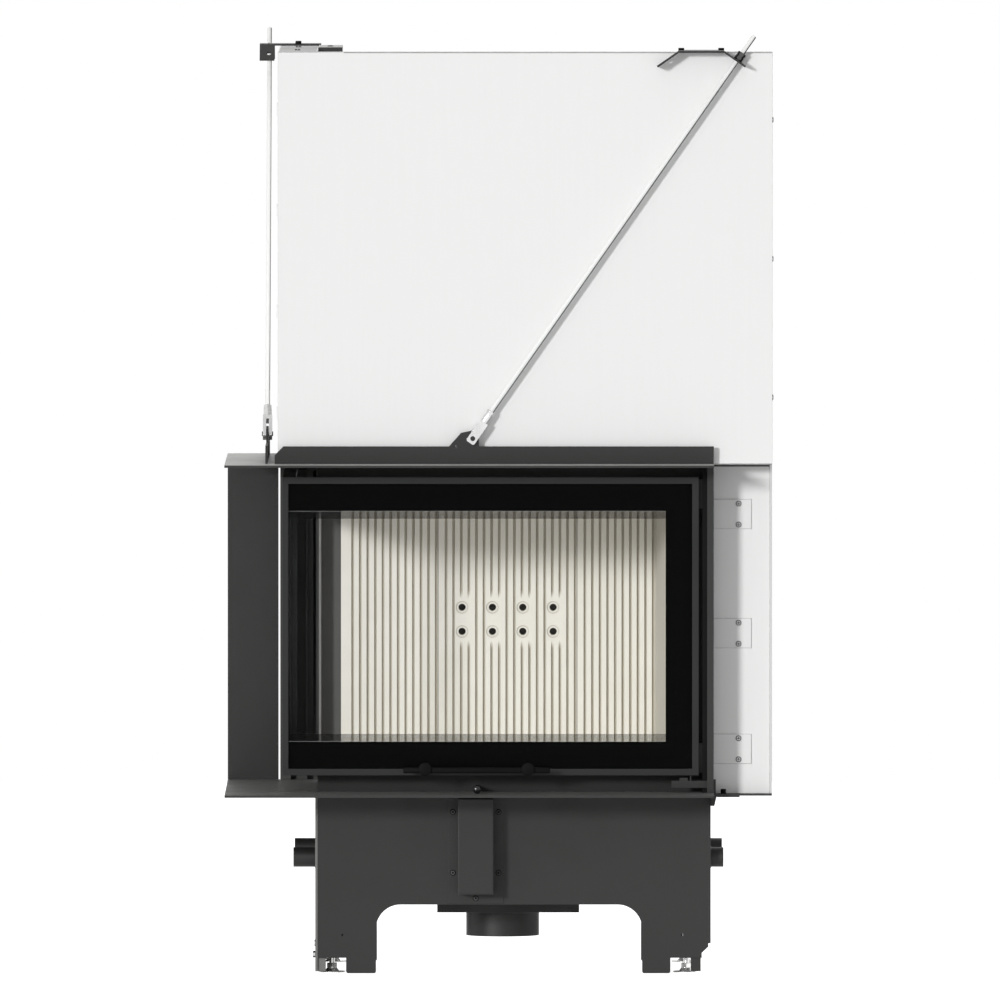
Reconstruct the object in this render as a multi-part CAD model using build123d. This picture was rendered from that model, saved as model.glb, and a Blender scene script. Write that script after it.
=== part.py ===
"""Corner fireplace insert with an L-shaped lifting door on two counterweights.

Millimetres, +Z up, front of the insert towards -Y. The origin is on the floor, in the middle
of the bounding box. Every piece is written to parts/NAME.step.
"""
import os
from math import atan2, cos, degrees, radians, sin

from build123d import *

# ---------------------------------------------------------------- driving sizes
# overall
overall_width = 935.0
overall_depth = 812.0
base_height = 307.5        # floor to the underside of the lower shelf
shelf_gap = 558.0          # free height between the two shelves
casing_height = 701.0      # casing above the top shelf

# shelves and planes
shelf_depth = 620.0
shelf_thickness = 4.0
body_inset = 157.5         # shelf edge to the firebox and base planes, front and left
body_depth = 413.5
column_width = 104.5       # counterweight column, right of the firebox
shelf_lap = 4.5            # shelf reaching past the firebox plane on the right
upstand_inset = 85.0       # shelf corner to the ends of the two upstands
upstand_height = 30.0
upstand_sheet = 4.0
upstand_chamfer = 15.0
back_panel_width = 87.5
back_panel_sheet = 2.0
rear_slot_inset = 5.3      # firebox left plane to the slot in the rear column's front sheet
rear_slot_width = 5.1
rear_slot_margin = 30.0

# casing sheets
casing_inset = 90.5
casing_sheet = 2.0
lid_length = 578.0
lid_hole_radius = 1.6
lid_hole_pair = 5.0
rivet_radius = 2.2
rivet_height = 2.5
lid_hole_inset = 170.5
lid_hole_left = 28.0
lid_hole_rows = 2
lid_hole_run = 261.0       # between the two pairs
column_panel_inset = 166.0  # shelf front to the white panel behind the column
column_panel_sheet = 1.5
column_panel_drop = 3.5    # white panel reaching below the lower shelf's top
hem_width = 4.1            # hem along the panel's right edge, below the casing
hem_proud = 2.5
hem_edge = 0.5

# base
base_sheet = 4.0
base_floor_gap = 0.7       # leg edges above the floor, the feet carry the load
left_leg_width = 51.0
right_leg_width = 48.3
left_notch = 48.7
right_notch = 68.7
notch_height = 27.0
corner_cut = 11.2          # cut lower right corner of a base panel
corner_cut_step = 8.5
corner_cut_top = 19.0      # above the notch
leg_corner_radius = 3.5
arch_height = 118.0
arch_radius = 42.0
side_leg_width = 72.0
cover_hole_radius = 2.0    # free holes for a plinth cover
cover_hole_left = 6.2      # outside the left and the right front leg
cover_hole_right = 19.9
cover_hole_height = 66.0
angle_flange = 17.0
left_angle_flange = 14.0
angle_gap = 4.0
angle_height = 64.0
right_angle_inset = 13.0
right_panel_lap = 12.0     # right side panel over its angle legs
foot_plate_rise = 1.0      # foot plate above the notch of a leg
foot_plate = 44.0
foot_inset = 24.5
foot_back_inset = 30.0

# feet
foot_disc_radius = 23.0
foot_disc_height = 3.0
foot_cone_radius = 13.0
foot_cone_height = 6.0
foot_nut_size = 17.0
foot_nut_height = 8.0
foot_screw_radius = 5.0
foot_screw_height = 72.0
foot_clearance = 0.1

# control cover on the base
cover_width = 62.0
cover_height = 164.0
cover_proud = 41.0
cover_sheet = 1.5
cover_lip = 16.0
cover_drop = 17.6
cover_bend = 2.5           # rounded outer edges of the folded box
cover_screw_rises = (35.0, 139.0)  # above the box's lower edge
cover_top_gap = 6.0
cover_left_gap = 239.0     # firebox left plane to the cover
cover_window_margin = 4.0  # panel left round the window behind the cover

# air supply
air_box_width = 243.0
air_box_depth = 190.0
air_box_bottom = 99.0
air_box_sheet = 2.0
air_box_left = 204.0
spigot_radius = 62.5
spigot_wall = 1.5
spigot_length = 41.0
spigot_flange = 7.5
spigot_flange_sheet = 2.0
spigot_left = 316.0
spigot_inset = 364.0
air_slot_width = 120.0
air_slot_depth = 50.0
air_slot_inset = 116.0     # sill to the slot in the lower shelf
air_rod_offset = 2.4       # control cover to the rod, sideways
air_slide_lap = 12.0       # slide past each edge of the slot
air_slide_gap = 0.2
air_rod_radius = 4.0
air_rod_clearance = 0.3
air_rod_height = 7.5       # rod axis above the lower shelf
air_rod_reach = 98.0       # rod end in front of the sill
air_knob_radius = 7.2
air_knob_length = 24.0
air_knob_cap = 1.0         # closed end of the knob, in front of the rod
air_slide_sheet = 3.0

# carry tubes through the base
carry_radius = 16.85
carry_bore = 13.5
carry_overhang = 41.5
carry_overhang_right = 22.0
carry_height = 197.5
carry_inset = 40.0
carry_clearance = 0.1

# firebox
sill_height = 33.5
steel_sheet = 4.0
firebox_right_gap = 38.0
firebox_height = 835.0     # firebox floor plate to the top plate
opening_height = 498.0     # firebox floor plate to the edge above the door opening
jamb_width = 28.0
back_jamb_width = 34.0
ledge_width = 30.0
ledge_rise = 53.0          # door opening to the ledges that carry the baffle
flue_radius = 100.0
flue_wall = 2.0
flue_length = 70.0
flue_flange = 20.0
flue_back_gap = 150.0

# ceramic lining
tile_thickness = 30.0
tile_left_width = 167.5
tile_centre_width = 239.0
tile_right_gap = 35.7      # right firebox wall to the right tile
tile_left_gap = 38.0
tile_joint = 0.8
tile_height = 500.0
tile_margin = 10.0         # least plain width beside the first groove
rib_pitch = 13.06
rib_groove = 4.4
rib_groove_depth = 4.0
seam_margin = 2.9          # right edge of a tile to its last groove
hole_radius = 6.2
hole_dish_radius = 10.5    # shallow dish round each air hole
hole_dish_depth = 1.5
hole_pitch_x = 52.2
hole_pitch_z = 41.5
hole_top_z = 263.0         # upper row of holes, measured down from the tile top
groove_end_gap = 16.0      # air hole to the tip of a groove that ends there
groove_ramp = 14.5         # length over which such a groove rises to the surface
lining_thickness = 25.0
lining_splay = 25.0
lining_gap = 1.0           # lining to the steel walls
lining_joint = 0.5         # side lining to the back tiles
hearth_thickness = 25.0
baffle_thickness = 25.0
baffle_gap = 60.0

# door
door_inset = 98.0
door_lift_gap = 30.0
door_height = 508.5
door_right_gap = 21.0
door_back_gap = 20.0
frame_band = 11.0
frame_depth = 22.0
frame_flange = 25.0
frame_flange_sheet = 3.0
corner_strip = 10.0
glass_thickness = 4.0
glass_recess = 1.0
glass_gap = 0.3
seal_thickness = 3.0
seal_width = 10.0

# handle
handle_length = 250.0
handle_height = 10.0
handle_thickness = 8.0
handle_reach = 34.0
handle_offset = 331.0      # door left edge to the middle of the handle
handle_rise = 10.0         # middle of the handle above the door's lower edge
boss_radius = 11.2
boss_thickness = 3.0       # round plates in front of the grip
boss_rise = 2.0            # middle of the grip to the middle of the plates
boss_pitch = 175.6
stem_radius = 6.0
handle_round = 2.4

# guide rails, shoes, pulleys and counterweights
rail_width = 30.0
rail_depth = 17.0
rail_sheet = 2.0
rail_offset = 9.0          # door face to the near edge of the rail
rail_top_gap = 130.0
shoe_clearance = 0.3
shoe_height = 50.0
shoe_margin = 4.0
shoe_back_gap = 0.5
post_width = 11.0
post_gap = 0.5             # casing plane to the post
post_depth = 64.0
post_foot = 17.5
cable_radius = 1.5
cable_inset = 6.0
cable_gap = 0.2            # cable to the bottom of the pulley's groove
pulley_groove_radius = 33.3
pulley_radius = 38.0
pulley_width = 12.0
pulley_drop = 74.0
axle_radius = 6.0
axle_overhang = 3.0
axle_collar = 3.0
axle_collar_gap = 0.5
groove_clearance = 0.7
axle_clearance = 0.05
carrier_sheet = 4.0
carrier_width = 30.0
carrier_height = 60.0
spoke_hole_radius = 6.0
spoke_hole_circle = 20.0
spoke_holes = 5
weight_width = 50.0
weight_depth = 40.0
weight_height = 480.0
weight_drop = 60.0         # pulley axis to the top of a counterweight
weight_chamfer = 2.0
eye_radius = 5.0
eye_height = 10.0

# top brackets and tie rods
bracket_length = 78.0
bracket_near = 16.0        # rod axis to the strap's outer edge
bracket_sheet = 3.0
bracket_flange = 25.5
bracket_flange_length = 45.0
bracket_angle = 35.0
bracket_hole = 27.6        # bend to the rod hole, along the flange
bracket_hole_radius = 4.5
bracket_right_gap = 160.2  # front bracket's start to the casing's right plane
bracket_side_start = 670.0  # shelf front edge to the side bracket
bracket_screw_inset = 5.0
bracket_screw_reach = 30.8  # casing plane to the strap's bolts
bracket_lip = 12.0
rod_radius = 4.0
rod_front_inset = 76.5     # shelf edges to the planes of the two tie rods and their upstands
rod_left_inset = 71.0
rod_run = 451.0            # pin to bracket hole, level
rod_overrun = 50.0         # rod end past the bracket
fork_pin_rise = 43.5       # pin above the top shelf
fork_size = 16.0
fork_slot = 4.6
fork_slot_depth = 26.0
fork_length = 34.0
fork_end = 9.0
fork_neck_radius = 7.0
fork_neck_length = 16.0
fork_round = 3.6
rod_start_gap = 1.0        # fork slot to the rod's end
rod_nut_gap = 0.1          # bracket hole to the nut's washer, along the rod
pin_radius = 4.0
pin_clearance = 0.05
pin_overhang = 1.6
nut_size = 13.0
nut_height = 6.5
washer_radius = 8.0
washer_sheet = 1.6
thread_clearance = 0.05
lug_behind = 10.5          # pin axis to the free end of the lug
lug_ahead = 45.5
lug_shoulder = 30.0
lug_height = 57.0
lug_corner = 12.0          # bevel at the lug's free upper corner
lug_crown = 1.0            # pin axis to the lug's highest point
lug_slope = 20.0           # length and fall of the slope behind the crown
lug_slope_fall = 4.0
lug_toe = 5.0              # small bevel at the lug's low end
lug_toe_height = 10.0
lug_hole_inset = 28.0      # pin axis to the small hole
lug_hole_radius = 2.2

# column fittings
clip_width = 65.0
clip_height = 51.0
clip_sheet = 2.0
clip_heights = (51.0, 248.5, 452.0)   # lower edges above the lower shelf's underside
clip_screw_pitch = 36.0
clip_screw_inset = 43.0
foot_tab_width = 4.0
foot_tab_height = 25.0
foot_sheet = 3.0
foot_depth = 30.0
foot_heel = 5.8            # shelf edge to the tapered tab's upper and lower corner
foot_heel_low = 1.6
foot_double_width = 39.0   # doubling sheet under the foot
foot_double_sheet = 2.5
bolt_radius = 4.0
bolt_head = 9.0
bolt_head_height = 8.0
bolt_inset = 17.0
bolt_end = 4.5

# screws and tabs
leg_bolt_size = 10.0
leg_bolt_height = 4.0
leg_bolt_radius = 3.0
leg_bolt_heights = (32.5,)
leg_bolt_inset = 16.0
screw_head_radius = 4.8
screw_head_height = 1.8
screw_shank_radius = 2.0
screw_length = 5.0
edge_screw_inset = 8.0
screw_clearance = 0.05
screw_round = 0.55         # share of a screw head's height that is rounded
edge_screw_heights = (113.0, 349.0, 586.0)  # above the casing's lower edge
tab_heights = (77.0, 250.0, 422.0, 594.0)
tab_height = 20.0
tab_depth = 12.0
tab_proud = 1.8
beam_width = 41.0
beam_height = 26.0
beam_sheet = 3.0
beam_length = 205.0
beam_start = 400.0
beam_screw = 84.0
beam_rise = 2.5

# door rest under the door, beside the right jamb
rest_length = 69.5
rest_height = 12.0
rest_rise = 8.5
rest_ear_height = 5.0
rest_ear_length = 14.0
rest_ear_start = 13.5
rest_sheet = 4.0
rest_setback = 3.0
rest_pin_radius = 1.4
rest_pin_inset = 32.5
rest_pin_gap = 0.3

past = 1.0                 # how far a cutter reaches past the face it cuts

# ---------------------------------------------------------------- planes
left = -overall_width / 2
right = overall_width / 2
front = -overall_depth / 2
back = overall_depth / 2
casing_left = left + casing_inset
casing_front = front + casing_inset
casing_right = right - screw_head_height
body_left = left + body_inset
body_front = front + body_inset
body_back = body_front + body_depth
body_right = casing_right - column_width
shelf_right = body_right + shelf_lap
shelf_back = front + shelf_depth
shelf_z = base_height + shelf_thickness
top_shelf_bottom = shelf_z + shelf_gap
top_shelf_z = top_shelf_bottom + shelf_thickness
casing_top = top_shelf_z + casing_height
floor_z = shelf_z + sill_height
floor_top = floor_z + steel_sheet
fire_right = body_right - firebox_right_gap
column_panel = front + column_panel_inset
door_left = left + door_inset
door_front = front + door_inset
door_right = body_right - door_right_gap
door_back = shelf_back - door_back_gap
door_bottom = shelf_z + door_lift_gap
door_top = door_bottom + door_height
post_left = shelf_right - post_width
rail_back = shelf_right - casing_sheet
rail_top = casing_top - rail_top_gap
pulley_z = casing_top - pulley_drop
cable_run = pulley_groove_radius + cable_radius + cable_gap


# ---------------------------------------------------------------- shapes
def block(x0, x1, y0, y1, z0, z1):
    """Block between two opposite corners."""
    middle = Pos((x0 + x1) / 2, (y0 + y1) / 2, (z0 + z1) / 2)
    return middle * Box(x1 - x0, y1 - y0, z1 - z0)


def bar(start, end, radius):
    """Round bar from one point to another."""
    a = Vector(*start)
    b = Vector(*end)
    length = (b - a).length
    low = (Align.CENTER, Align.CENTER, Align.MIN)
    return Plane(origin=a, z_dir=b - a) * Cylinder(radius, length, align=low)


def cone(start, end, radius, end_radius):
    """Round taper from one point to another."""
    a = Vector(*start)
    b = Vector(*end)
    low = (Align.CENTER, Align.CENTER, Align.MIN)
    return Plane(origin=a, z_dir=b - a) * Cone(radius, end_radius, (b - a).length, align=low)


def hexagon(start, end, across):
    """Hexagonal prism from one point to another, size across its flats."""
    a = Vector(*start)
    b = Vector(*end)
    outline = Plane(origin=a, z_dir=b - a) * RegularPolygon(across / 2, 6, major_radius=False)
    return extrude(outline, (b - a).length, dir=(b - a).normalized())


def plate_xz(points, y0, y1):
    """Plate with an outline of X and Z points, from y0 back to y1."""
    face = make_face(Polyline([Vector(x, y0, z) for x, z in points], close=True))
    return extrude(face, y1 - y0, dir=(0, 1, 0))


def save(name, shape):
    """Write one sub-part, as a solid or as a group of separate solids."""
    shape = shape if isinstance(shape, list) else [shape]
    solids = [solid for item in shape for solid in item.solids()]
    whole = solids[0] if len(solids) == 1 else Compound(children=solids)
    export_step(whole, f"parts/{name}.step")


def pan_screw(seat, out):
    """Pan-head screw with its head's underside at the seat point, and the hole it needs."""
    seat = Vector(*seat)
    out = Vector(*out)
    head = bar(seat, seat + out * screw_head_height, screw_head_radius)
    rims = head.edges().filter_by(GeomType.CIRCLE)
    rim = rims.sort_by(lambda edge: (edge.center() - seat).dot(out))[-1]
    head = fillet(rim, screw_head_height * screw_round)
    return head + bar(seat - out * screw_length, seat, screw_shank_radius)


def leg_bolt(seat, out):
    """Hexagon-head bolt through a base panel, with its head's underside at the seat point."""
    seat = Vector(*seat)
    out = Vector(*out)
    head = hexagon(seat, seat + out * leg_bolt_height, leg_bolt_size)
    return head + bar(seat - out * base_sheet, seat, leg_bolt_radius)


def leg_bolt_hole(seat, out):
    """Clearance hole for a base panel's bolt."""
    seat = Vector(*seat)
    out = Vector(*out)
    reach = out * (base_sheet + past)
    return bar(seat - reach, seat + out * past, leg_bolt_radius + screw_clearance)


def screw_hole(seat, out):
    """Clearance hole for the shank of a pan-head screw."""
    seat = Vector(*seat)
    out = Vector(*out)
    reach = out * (screw_length + past)
    return bar(seat - reach, seat + out * past, screw_shank_radius + screw_clearance)


def drill(shape, seats, out):
    """The shape with a screw hole at each seat."""
    for seat in seats:
        shape -= screw_hole(seat, out)
    return shape


os.makedirs("parts", exist_ok=True)
TO_FRONT = (0, -1, 0)
TO_LEFT = (-1, 0, 0)
TO_RIGHT = (1, 0, 0)
UP = (0, 0, 1)
SWAP = Plane(origin=(0, 0, 0), z_dir=(1, -1, 0))   # turns a front piece into a side piece
screws = []


# ---------------------------------------------------------------- base
def arch_outline(x0, x1, leg_left, leg_right, notches):
    """Outline of a base panel with an arch and, if asked, a notch outside each leg."""
    low = base_floor_gap
    points = [(x0, base_height)]
    if notches:
        points += [(x0, notch_height), (leg_left, notch_height), (leg_left, low)]
    else:
        points += [(x0, low)]
    points += [(leg_left + left_leg_width if notches else leg_left, low)]
    inner_left = points[-1][0]
    inner_right = leg_right - right_leg_width if notches else leg_right
    points += [(inner_left, arch_height), (inner_right, arch_height), (inner_right, low)]
    if notches:
        points += [(leg_right, low), (leg_right, notch_height), (x1 - corner_cut, notch_height),
                   (x1 - corner_cut, notch_height + corner_cut_step), (x1, notch_height + corner_cut_top)]
    else:
        points += [(x1, low)]
    points += [(x1, base_height)]
    return points, inner_left, inner_right


def arch_panel(x0, x1, leg_left, leg_right, notches, y0):
    """Base panel standing in the XZ plane, with rounded arch corners."""
    points, inner_left, inner_right = arch_outline(x0, x1, leg_left, leg_right, notches)
    panel = plate_xz(points, y0, y0 + base_sheet)
    upright = panel.edges().filter_by(Axis.Y)
    arch = [e for e in upright if abs(e.center().Z - arch_height) < 0.01]
    panel = fillet(arch, arch_radius)
    upright = panel.edges().filter_by(Axis.Y)
    feet = [e for e in upright if abs(e.center().Z - base_floor_gap) < 0.01]
    return fillet(feet, leg_corner_radius)


base_left = body_left - base_sheet
front_left = body_left
front_right = body_right - base_sheet
leg_left = body_left + left_notch
leg_right = body_right - right_notch

cover_x = body_left + cover_left_gap + cover_width / 2
cover_top = base_height - cover_top_gap
cover_bottom = cover_top - cover_height
cover_half = cover_width / 2 + cover_lip
cover_face = body_front - cover_sheet
cover_seats = [
    (cover_x + side * (cover_width / 2 + cover_lip / 2), cover_face, cover_bottom + rise)
    for rise in cover_screw_rises
    for side in (-1, 1)
] + [(cover_x, cover_face, cover_bottom - cover_drop / 2)]

free_holes = [leg_left - cover_hole_left, leg_right + cover_hole_right]

carry_y = [body_front + carry_inset, body_back - carry_inset]
front_panel = arch_panel(front_left, front_right, leg_left, leg_right, True, body_front)
front_panel = drill(front_panel, cover_seats, TO_FRONT)
window_half = cover_width / 2 - cover_window_margin
front_panel -= block(cover_x - window_half, cover_x + window_half, body_front - past,
                     body_front + base_sheet + past, cover_bottom + cover_window_margin,
                     cover_top - cover_window_margin)
for x in free_holes:
    front_panel -= bar((x, body_front - past, cover_hole_height),
                       (x, body_front + base_sheet + past, cover_hole_height), cover_hole_radius)
save("base_front_panel", front_panel)
save("base_rear_panel",
     arch_panel(front_left, front_right, leg_left, leg_right, True, body_back - base_sheet))


def side_arch(x0):
    """Side panel of the base: a plate in the YZ plane with an arch between two legs."""
    panel = block(x0, x0 + base_sheet, body_front, body_back, angle_gap, base_height)
    gate = block(x0 - past, x0 + base_sheet + past, body_front + side_leg_width,
                 body_back - side_leg_width, -past, arch_height)
    gate = fillet([e for e in gate.edges().filter_by(Axis.X) if e.center().Z > 0], arch_radius)
    panel -= gate
    for y in carry_y:
        panel -= bar((x0 - past, y, carry_height), (x0 + base_sheet + past, y, carry_height),
                     carry_radius + carry_clearance)
    return panel


plate_low = notch_height + foot_plate_rise


def leg_corner(x_plate, inward, flange_width, at_front):
    """Angle leg and foot plate in one corner of the base, with the hole for the foot's screw."""
    depth = 1 if at_front else -1
    y_panel = body_front + base_sheet if at_front else body_back - base_sheet
    x0, x1 = sorted((x_plate, x_plate + inward * flange_width))
    y0, y1 = sorted((y_panel, y_panel + depth * base_sheet))
    flange = block(x0, x1, y0, y1, angle_gap, angle_height)
    x0, x1 = sorted((x_plate, x_plate + inward * (foot_inset + foot_plate / 2)))
    y0, y1 = sorted((y_panel + depth * base_sheet, y_panel + depth * (foot_back_inset + foot_plate / 2)))
    plate = block(x0, x1, y0, y1, plate_low, plate_low + base_sheet)
    screw_x = x_plate + inward * foot_inset
    screw_y = y_panel + depth * foot_back_inset
    plate -= bar((screw_x, screw_y, 0), (screw_x, screw_y, arch_height), foot_screw_radius + foot_clearance)
    return flange + plate, (screw_x, screw_y)


left_side = side_arch(base_left)
right_side = side_arch(body_right - base_sheet)
right_side -= block(body_right - base_sheet - past, body_right + past, body_front - past,
                    body_back + past, -past, angle_height - right_panel_lap)
foot_places = {}
for end, at_front in (("front", True), ("rear", False)):
    corner, foot_places[end + "_left"] = leg_corner(body_left, 1, left_angle_flange, at_front)
    left_side += corner
    corner, foot_places[end + "_right"] = leg_corner(body_right - base_sheet - right_angle_inset, -1,
                                                     angle_flange, at_front)
    y_panel = body_front + base_sheet if at_front else body_back - base_sheet
    depth = 1 if at_front else -1
    web_y = sorted((y_panel, y_panel + depth * base_sheet))
    web = block(body_right - base_sheet - right_angle_inset, body_right - base_sheet, *web_y,
                angle_height - right_panel_lap, angle_height)
    right_side += corner + web
for y in (body_front + leg_bolt_inset, body_back - leg_bolt_inset):
    seats = [((base_left, y, z), TO_LEFT) for z in leg_bolt_heights]
    for seat, out in seats:
        left_side -= leg_bolt_hole(seat, out)
        screws.append(leg_bolt(seat, out))
save("base_left_panel", left_side)
save("base_right_panel", right_side)


def foot(x, y):
    """Levelling foot: disc, cone and hexagon on a screw."""
    cone_top = foot_disc_height + foot_cone_height
    nut_top = cone_top + foot_nut_height
    disc = bar((x, y, 0), (x, y, foot_disc_height), foot_disc_radius)
    taper = cone((x, y, foot_disc_height), (x, y, cone_top), foot_cone_radius, foot_nut_size / 2)
    nut = hexagon((x, y, cone_top), (x, y, nut_top), foot_nut_size)
    return disc + taper + nut + bar((x, y, nut_top), (x, y, foot_screw_height), foot_screw_radius)


for place, (x, y) in foot_places.items():
    save("foot_" + place, foot(x, y))

cover = block(cover_x - cover_half, cover_x + cover_half, cover_face, body_front,
              cover_bottom - cover_drop, cover_top)
hood = block(cover_x - cover_width / 2, cover_x + cover_width / 2, body_front - cover_proud,
             body_front, cover_bottom, cover_top)
cover += fillet(hood.faces().sort_by(Axis.Y)[0].edges(), cover_bend)
cover -= block(cover_x - cover_width / 2 + cover_sheet, cover_x + cover_width / 2 - cover_sheet,
               body_front - cover_proud + cover_sheet, body_front + past, cover_bottom + cover_sheet,
               cover_top - cover_sheet)
save("control_cover", drill(cover, cover_seats, TO_FRONT))
screws += [pan_screw(seat, TO_FRONT) for seat in cover_seats]

carry_ends = (body_left - carry_overhang, body_right + carry_overhang_right)
save("carry_tubes", [bar((carry_ends[0], y, carry_height), (carry_ends[1], y, carry_height), carry_radius)
                     - bar((carry_ends[0] - past, y, carry_height), (carry_ends[1] + past, y, carry_height),
                           carry_bore) for y in carry_y])

# ---------------------------------------------------------------- air supply
box_left = body_left + air_box_left
spigot_x = body_left + spigot_left
spigot_y = front + spigot_inset
box_front = spigot_y - air_box_depth / 2
box_back = spigot_y + air_box_depth / 2
air_box = block(box_left, box_left + air_box_width, box_front, box_back, air_box_bottom, base_height)
air_box -= block(box_left + air_box_sheet, box_left + air_box_width - air_box_sheet,
                 box_front + air_box_sheet, box_back - air_box_sheet,
                 air_box_bottom + air_box_sheet, base_height + past)
air_box -= bar((spigot_x, spigot_y, air_box_bottom - past),
               (spigot_x, spigot_y, air_box_bottom + air_box_sheet + past), spigot_radius - spigot_wall)
save("adapter_box", air_box)
spigot_low = air_box_bottom - spigot_flange_sheet - spigot_length
spigot = bar((spigot_x, spigot_y, spigot_low), (spigot_x, spigot_y, air_box_bottom), spigot_radius)
spigot += bar((spigot_x, spigot_y, air_box_bottom - spigot_flange_sheet),
              (spigot_x, spigot_y, air_box_bottom), spigot_radius + spigot_flange)
spigot -= bar((spigot_x, spigot_y, spigot_low - past), (spigot_x, spigot_y, air_box_bottom + past),
              spigot_radius - spigot_wall)
save("air_spigot", spigot)

# ---------------------------------------------------------------- shelves
slot_front = body_front + air_slot_inset
lower_shelf = block(left, shelf_right, front, shelf_back, base_height, shelf_z)
lower_shelf -= block(spigot_x - air_slot_width / 2, spigot_x + air_slot_width / 2,
                     slot_front, slot_front + air_slot_depth, base_height - past, shelf_z + past)
save("lower_shelf", lower_shelf)

arm_front = casing_front + casing_sheet
arm_left = casing_left + casing_sheet
top_shelf = block(left, shelf_right, front, arm_front, top_shelf_bottom, top_shelf_z)
top_shelf += block(left, arm_left, arm_front, shelf_back, top_shelf_bottom, top_shelf_z)
save("top_shelf", top_shelf)

back_panel = block(left, left + back_panel_width, shelf_back - back_panel_sheet, shelf_back,
                   shelf_z, top_shelf_bottom)
save("left_rear_panel", back_panel)

# ---------------------------------------------------------------- shelf upstand with the rod lugs
rod_front = front + rod_front_inset
rod_left = left + rod_left_inset
upstand_front = rod_front - upstand_sheet / 2
upstand_left = left + upstand_inset
front_rise = plate_xz([(upstand_left, top_shelf_z), (shelf_right, top_shelf_z),
                       (shelf_right, top_shelf_z + upstand_height),
                       (upstand_left + upstand_chamfer, top_shelf_z + upstand_height),
                       (upstand_left, top_shelf_z + upstand_height - upstand_chamfer)],
                      upstand_front, upstand_front + upstand_sheet)
side_start = front + upstand_inset
side_outline = [(side_start, top_shelf_z), (shelf_back, top_shelf_z),
                (shelf_back, top_shelf_z + upstand_height),
                (side_start + upstand_chamfer, top_shelf_z + upstand_height),
                (side_start, top_shelf_z + upstand_height - upstand_chamfer)]
side_x = rod_left - upstand_sheet / 2
side_face = make_face(Polyline([Vector(side_x, y, z) for y, z in side_outline], close=True))
side_rise = extrude(side_face, upstand_sheet, dir=(1, 0, 0))

rod_reach = bracket_hole * cos(radians(bracket_angle))
rod_drop = bracket_hole * sin(radians(bracket_angle))
bracket_top = casing_top + bracket_sheet
front_bracket_x = casing_right - bracket_right_gap
side_bracket_y = front + bracket_side_start
hole_x = front_bracket_x + bracket_length + rod_reach
hole_y = side_bracket_y + bracket_length + rod_reach
hole_z = bracket_top - rod_drop
pin_x = hole_x - rod_run
pin_y = hole_y - rod_run
pin_z = top_shelf_z + fork_pin_rise


def lug():
    """Lug of an upstand's sheet, drawn with the tie rod's pin at the origin, X along the shelf."""
    low = -fork_pin_rise
    top = lug_height + low
    outline = [(-lug_ahead, low), (lug_behind, low), (lug_behind, top - lug_corner), (-lug_crown, top),
               (-lug_slope, top - lug_slope_fall), (-lug_ahead + lug_toe, lug_shoulder + low),
               (-lug_ahead, lug_shoulder - lug_toe_height + low)]
    return plate_xz(outline, -upstand_sheet / 2, upstand_sheet / 2)


def lug_holes():
    """Cutters for a lug's pin hole and small hole, drawn like the lug."""
    t = upstand_sheet
    x, z = -lug_hole_inset, lug_shoulder - fork_pin_rise
    return (bar((0, -t, 0), (0, t, 0), pin_radius + pin_clearance)
            + bar((x, -t, z), (x, t, z), lug_hole_radius))


def front_place(shape, x, z):
    """Place a piece drawn at a rod plane on the front of the insert."""
    return Pos(x, rod_front, z) * shape


def side_place(shape, y, z):
    """Place the same piece on the left side of the insert."""
    return Pos(rod_left, y, z) * mirror(shape, SWAP)


front_rise += front_place(lug(), pin_x, pin_z)
side_rise += side_place(lug(), pin_y, pin_z)
save("shelf_upstand", [front_rise - front_place(lug_holes(), pin_x, pin_z),
                       side_rise - side_place(lug_holes(), pin_y, pin_z)])

# ---------------------------------------------------------------- tie rods
rod_rise = hole_z - pin_z
rod_tilt = 90 - degrees(atan2(rod_rise, rod_run))
rod_hole_at = (rod_run ** 2 + rod_rise ** 2) ** 0.5
fork_top = fork_length + fork_neck_length


def tilted(shape):
    """Turn a piece drawn along +Z onto the line of a tie rod."""
    return shape.rotate(Axis.Y, rod_tilt)


def fork():
    """Fork head with its pin hole at the origin."""
    half = fork_size / 2
    body = block(-half, half, -half, half, -fork_end, fork_length)
    body = fillet(body.edges().filter_by(Axis.Y).group_by(Axis.Z)[0], fork_round)
    body += bar((0, 0, fork_length), (0, 0, fork_top), fork_neck_radius)
    body -= block(-half - past, half + past, -fork_slot / 2, fork_slot / 2, -fork_end - past,
                  fork_slot_depth)
    body -= bar((0, -half - past, 0), (0, half + past, 0), pin_radius + pin_clearance)
    return body - bar((0, 0, 0), (0, 0, fork_top + past), rod_radius + thread_clearance)


def nut(start):
    """Rod nut from a distance along the rod."""
    body = hexagon((0, 0, start), (0, 0, start + nut_height), nut_size)
    bore = bar((0, 0, start - past), (0, 0, start + nut_height + past), rod_radius + thread_clearance)
    return body - bore


def washer(start):
    """Rod washer from a distance along the rod."""
    body = bar((0, 0, start), (0, 0, start + washer_sheet), washer_radius)
    bore = bar((0, 0, start - past), (0, 0, start + washer_sheet + past), rod_radius + thread_clearance)
    return body - bore


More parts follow.
